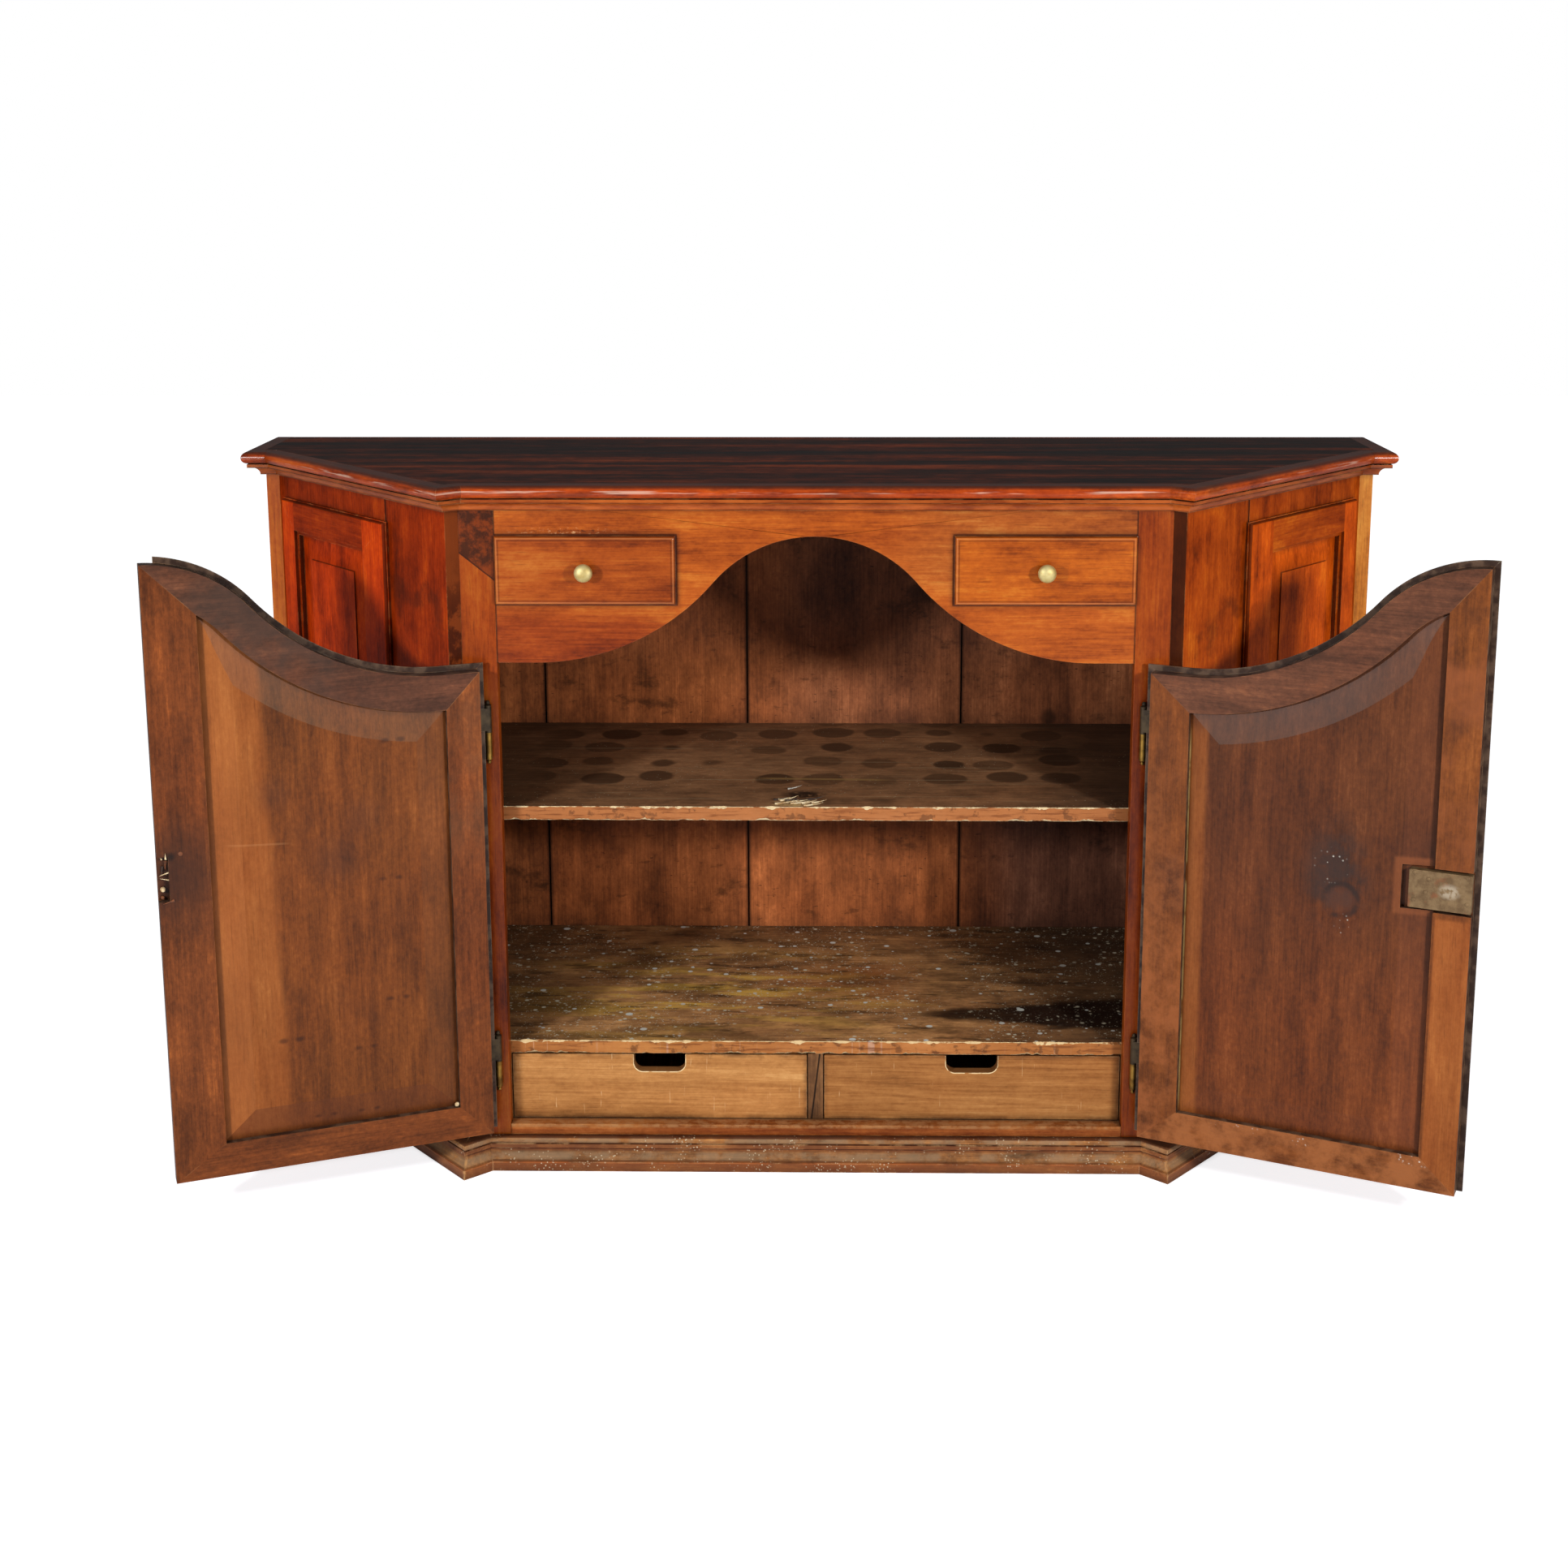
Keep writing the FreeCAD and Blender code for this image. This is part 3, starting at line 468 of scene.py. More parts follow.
def plinthPaint(side=None):  # dust, a ruddy hollow, a brown foot with a painted highlight along its top, painted shade in the grooves, chips and a rubbed corner
    def paint(f):
        z = f.dot(axisZ)
        smear = f.noise(f.place, 24, 5, 0.68)
        foot = z.fall(0.0135, 0.0150)
        dusty = z.step(0.0392, 0.0402).most(z.within(0.016, 0.026, 0.003))
        f.lay(smear.step(0.36, 0.56) * dusty * 0.6, (150, 122, 92))
        f.lay(z.within(0.028, 0.0394, 0.002) * (0.3 + smear * 0.5), (112, 58, 34))
        f.lay(foot * (0.35 + smear * 0.7), (122, 64, 34))
        # a broken painted highlight along the top of the foot
        f.lay(z.near(0.0138, 0.0005, 0.0018) * smear.step(0.4, 0.55) * 0.6, (182, 100, 48))
        grooveShade(f, plinthLines, (72, 28, 14))
        if side:
            tip = min((v.co for v in nodes[f"plinth_{side}"].data.vertices), key=lambda p: p.y)
            across = (sideOut[side] - sideWay[side]).cross(axisZ).normalized()
            arris = f.dot(across).near(tip.dot(across), 0.0006, 0.0032) * f.facing(axisZ).fall(0.5, 0.9)
            f.lay(arris * f.cloud(60, 0.4, 0.58, 4, 0.7) * 0.75, (206, 152, 94))
        f.lay(f.specks(f.place, 230, 0.14, 0.3) * f.cloud(30, 0.5, 0.62) * 0.8, (206, 190, 158))
    return paint


sillLook = toned(frontLook, sideStops, (74, 35, 13), (121, 64, 27), (152, 91, 44), (188, 127, 71),
                 grime=1.0, wear=0.8, wearReach=0.003, coat=0.12, shine=0.05)


def sillPaint(f):  # redder under a dusty upper edge
    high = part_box("front_sill")[1].z
    z = f.dot(axisZ)
    f.gain(z.fall(high - 0.007, high - 0.004) * 0.8, (0.98, 0.72, 0.55))
    f.lay(f.cloud(60, 0.4, 0.6, 4, 0.7) * z.step(high - 0.006, high - 0.002) * 0.55, (168, 124, 82))


def dressCase():
    for side, n in zip(sides, (41, 61)):
        canted, moulded = (axisZ, sideWay[side]), (sideWay[side], axisZ)
        board, litLeaf = sideLooks[side], leafLitLooks[side]
        for k, (node, ways, look, paint) in enumerate((
                ("front_stile", uprightGrain, stileLook, stilePatch if side == "left" else None),
                ("corner_board", canted, board, cornerPaint(side)),
                ("side_frame", canted, board, None),
                ("end_board", (axisZ, axisY), endLooks[side], endPaint(side)),
                ("side_door_panel", canted, litLeaf, leafPaint(side, "panel")),
                ("side_door_frame", canted, litLeaf, leafPaint(side, "frame")),
                ("crown", moulded, crownLook, crownPaint),
                ("plinth", moulded, plinthLook, plinthPaint(side)),
                ("frieze_front", levelGrain, drawerLook, friezePaint(side)))):
            dressWood(f"{node}_{side}", *ways, n + k, look, paint)
    dressWood("apron", *levelGrain, 11, apronLook, apronPaint)
    dressWood("front_sill", *levelGrain, 12, sillLook, sillPaint)
    dressWood("crown_front", *levelGrain, 13, crownLook, crownPaint)
    dressWood("plinth_front", *levelGrain, 14, plinthLook, plinthPaint())
    dressWood("top_board", *flatGrain, 15, topLook)


dressCase()
print("outside dressed")

# doors: hinge, direction to the meeting stile and direction inward, as photographed
doorWays = {}
for side, sign in zip(sides, (1, -1)):
    joint = joints[f"door_{side}_hinge"]
    turn = math.radians(joint["range_deg"][0])
    doorWays[side] = (Vector(joint["pos_m"]), Vector((sign * math.cos(turn), math.sin(turn), 0)),
                      Vector((-sign * math.sin(turn), math.cos(turn), 0)))

insideLook = {
    "tones": tones(boardStops, (54, 26, 10), (93, 48, 17), (119, 63, 23), (150, 86, 37)),
    "rings": 64, "wander": 0.08, "figure": 0.3, "streak": 0.45, "mottle": 0.9, "mottleRun": 8, "grit": 0.5,
    "blotch": 0.5, "patch": (4, 9), "pores": 0.3, "gloss": (0.36, 0.56), "coat": 0.16, "coatRough": 0.28,
    "grime": 0.85, "grimeReach": 0.012, "wear": 0.35, "wearReach": 0.0016, "wearTint": (186, 128, 78),
}
tanTones = tones(darkStops, (103, 50, 16), (137, 73, 28), (155, 88, 38), (176, 108, 51))
headTones = tones(boardStops, (46, 27, 18), (77, 46, 31), (102, 61, 41), (138, 86, 56))
railTones = tones(boardStops, (50, 22, 7), (92, 46, 17), (121, 62, 25), (166, 91, 38))


def doorSpots(f, side):  # along the door from its hinge, and height
    pivot, way = doorWays[side][:2]
    return f.dot(way) - pivot.dot(way), f.dot(axisZ)


def doorDepth(f, side):  # inward from the hinge's axis
    pivot, normal = doorWays[side][::2]
    return f.dot(normal) - pivot.dot(normal)


def polishOutside(f, side, seed):  # the show side keeps the front's polish, the edges and the lip are painted dark as shade, and a painted highlight runs along the lip's arrises
    way, normal = doorWays[side][1:]
    show = f.facing(-normal).step(0.85, 0.97)
    rim = f.facing(normal).fall(0.6, 0.85)
    dark = f.blend(f.cloud(50, 0.42, 0.62), tint(54, 38, 30), tint(98, 76, 60))
    inner = doorDepth(f, side).step(0.0060, 0.0066)
    # painted shade on the edges and the lip
    f.lay(rim.most(1 - inner) * 0.88, dark)
    # a broken painted highlight along the lip's arrises
    f.lay(f.edge(0.0014) * (1 - inner) * f.cloud(22, 0.4, 0.58) * 0.65, (156, 146, 122))
    f.lay(show, timber(f, axisZ, way, seed, frontLook)[0])
    f.rough = f.rough + (0.34 - f.rough) * show


def smudges(f, strength, seed):
    moved = f.node("VectorMath", {"operation": "ADD"}, {0: f.place, 1: (seed * 1.7, seed * 0.9, seed * 0.4)})
    cloud = f.noise(moved, 6.5, 6, 0.7)
    small = f.noise(moved, 42, 4, 0.7)
    f.lay(cloud.step(0.52, 0.74) * strength, (48, 28, 20))
    f.lay((1 - cloud).step(0.56, 0.74) * strength * 0.6, (140, 76, 40))
    f.lay(small.step(0.62, 0.72) * strength * 0.5, (50, 28, 18))


def panelSlopes(f, side):  # where the panel's inner face falls away: at the head, the foot and the two sides
    way, normal = doorWays[side][1:]
    slope = f.facing(normal).fall(0.988, 0.996)
    head, foot = (f.facing(aim).step(0.03, 0.10) for aim in (axisZ, -axisZ))
    hinge, free = (f.facing(aim).step(0.08, 0.15) for aim in (-way, way))
    return slope * head, slope * foot, slope * hinge, slope * free


def tanWood(f, side, seed):
    return timber(f, axisZ, doorWays[side][1], seed, dict(insideLook, tones=tanTones))[0]


leftDents = (  # place and size of each pair of dents on the left panel
    (0.137, 0.660, 0.007), (0.147, 0.465, 0.006), (0.143, 0.291, 0.006), (0.190, 0.225, 0.006),
    (0.291, 0.250, 0.008), (0.249, 0.132, 0.005), (0.189, 0.131, 0.005),
)
leftStains = ((0.183, 0.556, 0.022), (0.30, 0.60, 0.02), (0.22, 0.50, 0.03))


def leftPanelPaint(f):  # the free side painted lighter as light beside the right door's shadow, slopes tinted as painted light and shade, dents, stains and a scratch
    s, z = doorSpots(f, "left")
    drift = f.noise(f.place, 5, 3) - 0.5
    smudges(f, 0.27, 1)
    # painted light: the free side is lit, and the edge of the right door's shadow runs down the panel here
    shadowEdge = 0.297 + (z - 0.47).step(-0.25, 0.25) * 0.012 + drift * 0.012
    zone = (s - shadowEdge).step(-0.006, 0.008) * (0.78 + drift * 0.7)
    f.lay(zone, tanWood(f, "left", 72))
    # slopes tinted by the way they face: painted light and shade
    head, foot, hinge, free = panelSlopes(f, "left")
    f.lay(head * 0.36 * (1 - zone * 0.6) * (0.8 + drift * 2), (106, 78, 52))
    f.lay(foot * 0.45, (96, 50, 26))
    f.lay(hinge * 0.12, (128, 82, 50))
    f.lay(free * 0.12, (184, 116, 64))
    for u, v, r in leftDents:
        for shift in (-0.006, 0.006):
            f.lay(spot((s - u) * 0.55 + u, z, u + shift, v, r * 0.42, 0.002) * 0.55, (38, 20, 14))
    for u, v, r in leftStains:
        f.lay(spot(s, z, u, v, r, r * 0.8) * 0.45 * (drift + 0.6), (60, 38, 30))
    scratch = (z - 0.531 - (s - 0.3) * 0.06).size().fall(0.0008, 0.002)
    f.lay(scratch * s.within(0.285, 0.36, 0.01) * 0.12, (206, 150, 96))
    polishOutside(f, "left", 201)


def rightPanelPaint(f):  # darker above, a tan strip with a pale line, slopes tinted as painted light and shade, and the stain of an older lock
    s, z = doorSpots(f, "right")
    drift = f.noise(f.place, 6, 3) - 0.5
    smudges(f, 0.29, 3)
    f.gain(1.0, f.blend(z.step(0.26, 0.5), (0.9, 0.82, 1.0, 1), (0.63, 0.65, 1.0, 1)))
    strip = s.within(0.05, 0.096, 0.004) * (z - 0.66 - s * 0.2).step(0.02, -0.02) * (0.7 + drift)
    f.lay(strip, tanWood(f, "right", 82))
    line = s.near(0.0705, 0.0012, 0.0026)
    f.lay(line * z.within(0.13, 0.66, 0.02) * f.cloud(30, 0.3, 0.5), (206, 168, 104))
    # slopes tinted by the way they face: painted light and shade
    head, foot, hinge, free = panelSlopes(f, "right")
    f.lay(head * 0.42 * (0.85 + drift * 2), (80, 58, 48))
    f.lay((foot * 0.12).most(free * 0.15), (112, 62, 40))
    cloud = f.noise(f.place, 17, 4, 0.65)
    away = ((s - 0.277) ** 2 * 3.2 + (z - 0.49) ** 2).root()
    f.lay(away.fall(0.03, 0.11) * cloud.step(0.36, 0.62) * 0.8, (50, 38, 34))
    far = ((s - 0.284) ** 2 + (z - 0.46) ** 2).root() + (cloud - 0.5) * 0.006
    broken = f.cloud(33, 0.36, 0.56)
    f.lay(far.near(0.022, 0.001, 0.006) * broken * 0.75, (42, 30, 26))
    f.lay(far.fall(0.012, 0.022) * 0.4, (92, 54, 38))
    near = spot(s, z, 0.27, 0.505, 0.016, 0.012).most(spot(s, z, 0.292, 0.425, 0.01, 0.008))
    f.lay(f.specks(f.pack(s, z, 0), 160, 0.12, 0.26) * near, (196, 190, 176))
    f.lay(s.within(0.352, 0.40, 0.003) * z.within(0.452, 0.53, 0.003) * 0.5 * (drift + 0.8), (150, 84, 46))
    polishOutside(f, "right", 211)


def railPaint(side, kind):  # smudges, what each stile or rail has of its own, and painted shade along the lip's step
    own = f"{kind}_{side}"

    def paint(f):
        s, z = doorSpots(f, side)
        smudges(f, 0.55, 5 if side == "left" else 7)
        if own == "meeting_stile_right":
            low = z.fall(0.449, 0.454) * s.within(0.408, 0.458, 0.002)
            f.lay(low * 0.85, tanWood(f, "right", 92))
            high = z.within(0.53, 0.84, 0.02) * f.cloud(11, 0.35, 0.65, 4)
            f.lay(high * 0.6, (142, 78, 42))
        if own == "bottom_rail_right":
            f.lay(f.cloud(19, 0.34, 0.62, 5, 0.7) * 0.75, (160, 96, 52))
            crumbs = f.specks(f.pack(s, z, 0), 210, 0.16, 0.34) * z.near(0.1085, 0.002, 0.009)
            f.lay(crumbs * f.cloud(14, 0.45, 0.6, 2) * s.within(0.1, 0.41, 0.03), (226, 222, 208))
        if own == "hinge_stile_right":
            f.lay(z.fall(0.25, 0.85) * f.cloud(21, 0.36, 0.64, 5, 0.7) * 0.7, (152, 86, 44))
        if own == "hinge_stile_left":
            f.lay(z.within(0.52, 0.70, 0.08) * f.cloud(9, 0.35, 0.65, 4) * 0.5, (96, 74, 52))
        if own == "top_rail_left":
            f.lay(s.within(0.2, 0.42, 0.08) * f.cloud(12, 0.4, 0.6, 4) * 0.6, (56, 46, 40))
        if own == "meeting_stile_left":
            f.lay(spot(s, z, 0.43, 0.505, 0.06, 0.05) * 0.75, (40, 26, 20))
            # painted shadow of the hole at the strike
            f.lay(spot(s, z, 0.4358, 0.5295, 0.0055, 0.004) * 0.8, (26, 19, 15))
        # painted shade along the step where the lip stands out
        f.lay(doorDepth(f, side).near(0.0056, 0.0004, 0.0016) * 0.8, (38, 24, 20))
        polishOutside(f, side, 221)
    return paint


def dressDoors():
    for side, n, panel in zip(sides, (100, 130), (leftPanelPaint, rightPanelPaint)):
        way = doorWays[side][1]
        dressWood(f"door_{side}_panel", axisZ, way, n, insideLook, panel)
        for i, kind in enumerate(("hinge_stile", "meeting_stile", "top_rail", "bottom_rail")):
            shades = headTones if kind == "top_rail" else railTones if side == "left" else insideLook["tones"]
            ways = (axisZ, way) if "stile" in kind else (way, axisZ)
            look = dict(insideLook, tones=shades)
            dressWood(f"door_{side}_{kind}", *ways, n + 1 + i, look, railPaint(side, kind))


dressDoors()
print("doors dressed")

# inside boards
backLook = {
    "tones": tones(boardStops, (73, 39, 24), (128, 70, 38), (172, 97, 53), (229, 135, 76)),
    "rings": 54, "wander": 0.06, "figure": 0.55, "streak": 0.45, "mottle": 0.55,
    "blotch": 1.1, "patch": (3, 8), "pores": 0.25, "gloss": (0.5, 0.7), "coat": 0.05,
    "grime": 0.8, "grimeReach": 0.03, "relief": 0.3,
}
firLook = {
    "tones": tones(boardStops, (115, 71, 35), (154, 100, 52), (179, 123, 69), (205, 154, 96)),
    "rings": 170, "wander": 0.02, "figure": 0.9, "streak": 0.7, "mottle": 0.4, "blotch": 0.5, "patch": (3, 7),
    "pores": 0.2, "pith": 0.3, "gloss": (0.5, 0.68), "coat": 0.04,
    "grime": 0.9, "grimeReach": 0.015, "wear": 0.5, "wearReach": 0.0025, "wearTint": (214, 178, 130),
}
darkLook = toned(backLook, darkStops, (48, 31, 21), (87, 57, 34), (118, 80, 48), (160, 110, 68))
dividerLook = toned(darkLook, darkStops, (57, 38, 26), (103, 69, 42), (139, 96, 59), (186, 130, 82))
backSeams = (-0.446, -0.117, 0.2305, 0.56)  # where the back boards meet


def backPaint(f):  # knots, marks and smears, a painted pool of light low in the middle, painted shadow at the lower right and over the upper middle and right, black in the seams
    x, z = f.dot(axisX), f.dot(axisZ)
    # a painted pool of light low in the middle
    f.lay(spot(x * 0.8, z, 0.06, 0.36, 0.1, 0.18) * 0.2, (132, 74, 36))
    f.lay(f.specks(f.pack(x, 0.0, z * 0.8), 6.5, 0.05, 0.12) * 0.7, (38, 22, 13))
    f.lay(f.flow(x * 26, 0.0, z * 60, 4, 0.7).step(0.6, 0.7) * 0.45, (36, 22, 14))
    dash = f.flow(x * 75, 0.0, z * 230, 3, 0.6).step(0.64, 0.7)
    f.lay(dash * f.flow(x * 4, 0.0, z * 4, 2).step(0.42, 0.56) * 0.8, (30, 18, 12))
    f.lay(f.flow(x * 9, 0.0, z * 17, 5, 0.7).step(0.55, 0.68) * 0.6, (44, 26, 15))
    low = z.fall(0.5, 0.54)
    inside = f.facing(-axisY).step(0.5, 0.9)
    # painted shadow: the lower right, and the shadow of the arch over the upper middle and right
    f.gain(x.step(0.18, 0.34) * low * inside, (0.36, 0.46, 0.85))
    f.gain(x.step(-0.12, 0.0) * (1 - low) * inside, (0.72, 0.82, 1.1))
    for at in backSeams:
        f.lay((x - at).near(0.0012, 0.0008, 0.006) * 0.75, (24, 14, 9))


def dividerPaint(f):  # a crack
    x, z = f.dot(axisX), f.dot(axisZ)
    f.lay((x - (z - 0.115) * 0.12).size().fall(0.0006, 0.0018) * 0.9, (14, 9, 6))


lowGains = {"left": (1.12, 1.15, 1.15), "right": (0.89, 0.86, 0.82)}
fingerCut = {"flat": 0.024, "round": 0.013}  # half its straight foot, and the radius of its corners


def lowPaint(side):  # grime along the edges of a low drawer's front, a finger cut with painted shade on its wall and a worn rim brightened at its foot as a painted highlight, knots and scratches
    low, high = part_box(f"low_drawer_front_{side}")

    def paint(f):
        x, z = f.dot(axisX), f.dot(axisZ)
        f.gain(1.0, lowGains[side])
        inset = insetOf(x, z, low, high)
        dirt = f.cloud(26, 0.35, 0.6, 4, 0.65)
        f.lay(inset.fall(0.0005, 0.008) * dirt * 0.65, (92, 56, 32))
        middle = (low.x + high.x) / 2
        dx = ((x - middle).size() - fingerCut["flat"]).most(0.0)
        dz = (high.z - fingerCut["round"] - z).most(0.0)
        rim = (dx * dx + dz * dz).root() - fingerCut["round"]
        worn = f.cloud(90, 0.34, 0.5)
        front = f.facing(-axisY).step(0.3, 0.75)
        lit = (z - high.z + 0.012).fall(0.0, 0.010)
        # painted shade on the finger cut's wall
        f.lay(rim.fall(0.0002, 0.0008) * (1 - front) * 0.6, (104, 66, 38))
        # a worn pale rim, brightened towards its foot as a painted highlight
        f.lay(rim.within(0.0001, 0.0013, 0.0005) * front * worn * (0.3 + lit * 0.6), (244, 222, 172))
        f.lay(f.specks(f.pack(x, 0.0, z * 1.5), 9, 0.03, 0.07) * 0.65, (92, 54, 30))
        f.lay(f.flow(x * 240, 0.0, z * 16, 3, 0.6).step(0.66, 0.72) * 0.5, (228, 192, 142))
    return paint


def dressInside():
    dressWood("back_boards", *uprightGrain, 21, backLook, backPaint)
    dressWood("bottom_board", *flatGrain, 22, darkLook)
    dressWood("drawer_divider", *uprightGrain, 23, dividerLook, dividerPaint)
    dressWood("drawer_guides", *deepGrain, 24, firLook)
    dressWood("shelf_bearers", *levelGrain, 25, darkLook)
    for i, side in enumerate(sides):
        dressWood(f"frieze_cradle_{side}", *deepGrain, 26 + i, darkLook)
        dressWood(f"frieze_box_{side}", *deepGrain, 28 + i, firLook)
        dressWood(f"low_drawer_box_{side}", *deepGrain, 30 + i, firLook)
        dressWood(f"low_drawer_front_{side}", *levelGrain, 32 + i, firLook, lowPaint(side))


dressInside()
print("inside dressed")

# brass and iron
brassLook = {"dark": (48, 38, 24), "rough": 0.28, "metal": 0.9}
knobLook = dict(brassLook, clean=(212, 196, 138), dull=(186, 162, 98), rough=0.44, metal=0.55)
hingeLook = dict(brassLook, clean=(84, 68, 46), dull=(52, 41, 29), rough=0.45, metal=0.6)
pinLook = dict(brassLook, clean=(176, 136, 62), dull=(112, 80, 36))
ironLook = {"metal": (128, 102, 68), "dull": (98, 73, 43), "rust": (128, 70, 36), "rough": 0.45}


def finishBrass(name, look, dirt):
    f = Finish(name)
    cloud = f.noise(f.place, 60, 4)
    f.colour = f.blend(cloud.step(0.35, 0.7), tint(*look["clean"]), tint(*look["dull"]))
    f.rough = look["rough"] + cloud * 0.2
    mask = (f.hollow(0.006) * 1.2 + f.cloud(130, 0.5, 0.75) * 0.4) * dirt
    f.lay(mask.least(1.0), look["dark"])
    f.surface(Metallic=look["metal"])
    f.bump(f.noise(f.place, 240, 2), 0.1, 0.0004)
    return f


def finishIron(name, look):
    f = Finish(name)
    s, z = doorSpots(f, "right")
    cloud = f.noise(f.place, 70, 5, 0.65)
    rust = f.noise(f.place, 34, 4, 0.6)
    f.colour = f.blend(cloud.step(0.35, 0.65), tint(*look["dull"]), tint(*look["metal"]))
    f.rough = look["rough"] + cloud * 0.3
    f.lay(rust.step(0.52, 0.66) * 0.75, look["rust"])
    bare = spot(s * 0.75 + 0.106, z, 0.424, 0.491, 0.009, 0.004) * f.cloud(150, 0.35, 0.55)
    f.lay(bare * 0.8, (172, 156, 132))
    f.surface(Metallic=0.35)
    f.bump(cloud, 0.35, 0.0015)
    return f


lockIron = finishIron("lockIron", ironLook)
metals = {  # by what a node's name holds
    "knob": finishBrass("knobBrass", knobLook, 0.25), "hinges": finishBrass("hingeBrass", hingeLook, 1.0),
    "hinge_pins": finishBrass("pinBrass", pinLook, 0.8), "lock_": lockIron,
}
for node in nodes:
    for key, finish in metals.items():
        if key in node:
            dress(node, finish)
print("metal dressed")


def place(name, data):
    obj = bpy.data.objects.new(name, data)
    bpy.context.scene.collection.objects.link(obj)
    return obj


def addMesh(name, verts, faces, finish, body):
    mesh = meshFrom(name, verts, faces)
    mesh.materials.append(finish.material)
    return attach(place(name, mesh), body)


def meshFrom(name, verts, faces):
    mesh = bpy.data.meshes.new(name)
    bm = bmesh.new()
    made = [bm.verts.new(v) for v in verts]
    for face in faces:
        bm.faces.new([made[i] for i in face])
    bmesh.ops.recalc_face_normals(bm, faces=bm.faces)
    bm.to_mesh(mesh)
    bm.free()
    return mesh


def planOf(node):  # a flat board's corners, counter-clockwise from the left end of its front edge
    low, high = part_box(node)
    upper = [v.co for v in nodes[node].data.vertices if v.co.z > high.z - 1e-4]
    spots = {(round(p.x, 5), round(p.y, 5)) for p in upper}
    middle = (low + high) / 2
    ring = sorted(spots, key=lambda p: math.atan2(p[1] - middle.y, p[0] - middle.x))
    start = min(range(len(ring)), key=lambda i: (round(ring[i][1], 4), ring[i][0]))
    return ring[start:] + ring[:start], low, high


def chipRow(count, step, rnd, look):  # how far an arris is broken back at each station
    depth = [look["ease"] * rnd.uniform(0.6, 1.5) for i in range(count)]
    for k in range(look["chips"]):
        at = rnd.randrange(count)
        half = max(1, int(rnd.uniform(*look["chipLength"]) / step / 2))
        deep = rnd.uniform(*look["chipDepth"])
        for i in range(max(0, at - half), min(count, at + half + 1)):
            fall = 1 - (abs(i - at) / (half + 1)) ** 2
            depth[i] = max(depth[i], deep * fall * rnd.uniform(0.75, 1.1))
    return depth


def wornBoard(name, node, look, finish):  # a board again, with five points at each station of its front edge
    rnd = random.Random(look["seed"])
    plan, low, high = planOf(node)
    x0, x1, front = plan[0][0], plan[1][0], plan[0][1]
    count = int((x1 - x0) / look["step"]) + 1
    step = (x1 - x0) / (count - 1)
    top = chipRow(count, step, rnd, look)
    foot = chipRow(count, step, rnd, look)
    verts, faces = [], []
    for i in range(count):
        x = x0 + step * i
        wave = look["wave"] * (0.5 + 0.5 * math.sin(x * 9 + 1) * math.sin(x * 23)) + rnd.uniform(0, 0.0002)
        middle = (low.z + high.z) / 2
        verts += [(x, front + top[i] + wave, high.z),
                  (x, front + wave, high.z - top[i] * rnd.uniform(0.6, 1.1)),
                  (x, front + wave * 0.6, middle + rnd.uniform(-0.001, 0.001)),
                  (x, front + wave, low.z + foot[i] * rnd.uniform(0.6, 1.1)),
                  (x, front + foot[i] + wave, low.z)]
    for i in range(count - 1):
        for k in range(4):
            a = i * 5 + k
            faces.append((a, a + 1, a + 6, a + 5))
    start = len(verts)
    rest = plan[2:]
    for x, y in rest:
        verts += [(x, y, high.z), (x, y, low.z)]
    last = (count - 1) * 5
    tops = [start + 2 * i for i in range(len(rest))]
    faces.append([i * 5 for i in range(count)] + tops)
    faces.append([i * 5 + 4 for i in range(count)] + [t + 1 for t in tops])
    for first, corner in ((last, tops[0]), (0, tops[-1])):
        faces.append([*range(first, first + 5), corner + 1, corner])
    for a, b in zip(tops[:-1], tops[1:]):
        faces.append((a, a + 1, b + 1, b))
    obj = addMesh(name, verts, faces, finish, "case")
    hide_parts(node)


def frontEdge(f, tan, cream):  # the sawn front edge and its broken arrises
    toward = f.facing(-axisY)
    worn = f.noise(f.place, 55, 4, 0.6)
    edge = toward.step(0.3, 0.9)
    long = f.flow(f.dot(axisX) * 16, f.dot(axisY) * 60, f.dot(axisZ) * 220, 4, 0.65)
    f.lay(edge * (0.6 + worn * 0.4), tan)
    f.lay(edge * long.step(0.5, 0.64) * 0.7, (110, 58, 28))
    f.lay(edge * worn.step(0.56, 0.66) * 0.6, (76, 46, 30))
    f.lay(toward.within(0.25, 0.93, 0.06) * worn.step(0.36, 0.5), cream)


shelfLook = {
    "tones": tones(boardStops, (85, 57, 38), (129, 91, 62), (158, 112, 76), (193, 141, 99)),
    "rings": 48, "figure": 0.3, "streak": 0.7, "mottle": 0.9, "blotch": 0.7, "patch": (2.4, 9), "pores": 0.25,
    "poreTint": (110, 84, 60), "gloss": (0.55, 0.75), "coat": 0.03, "relief": 0.3,
    "stain": (78, 53, 35), "spacing": 11.6, "jitter": 0.36, "reach": 0.39,
    "seed": 3, "step": 0.003, "ease": 0.0007, "wave": 0.0008,
    "chips": 34, "chipLength": (0.005, 0.03), "chipDepth": (0.0015, 0.0045),
}
deckLook = toned(shelfLook, boardStops, (94, 64, 43), (150, 106, 67), (188, 136, 86), (240, 180, 116),
                 seed=8, chips=40, patch=(3.2, 12), blotch=0.9)


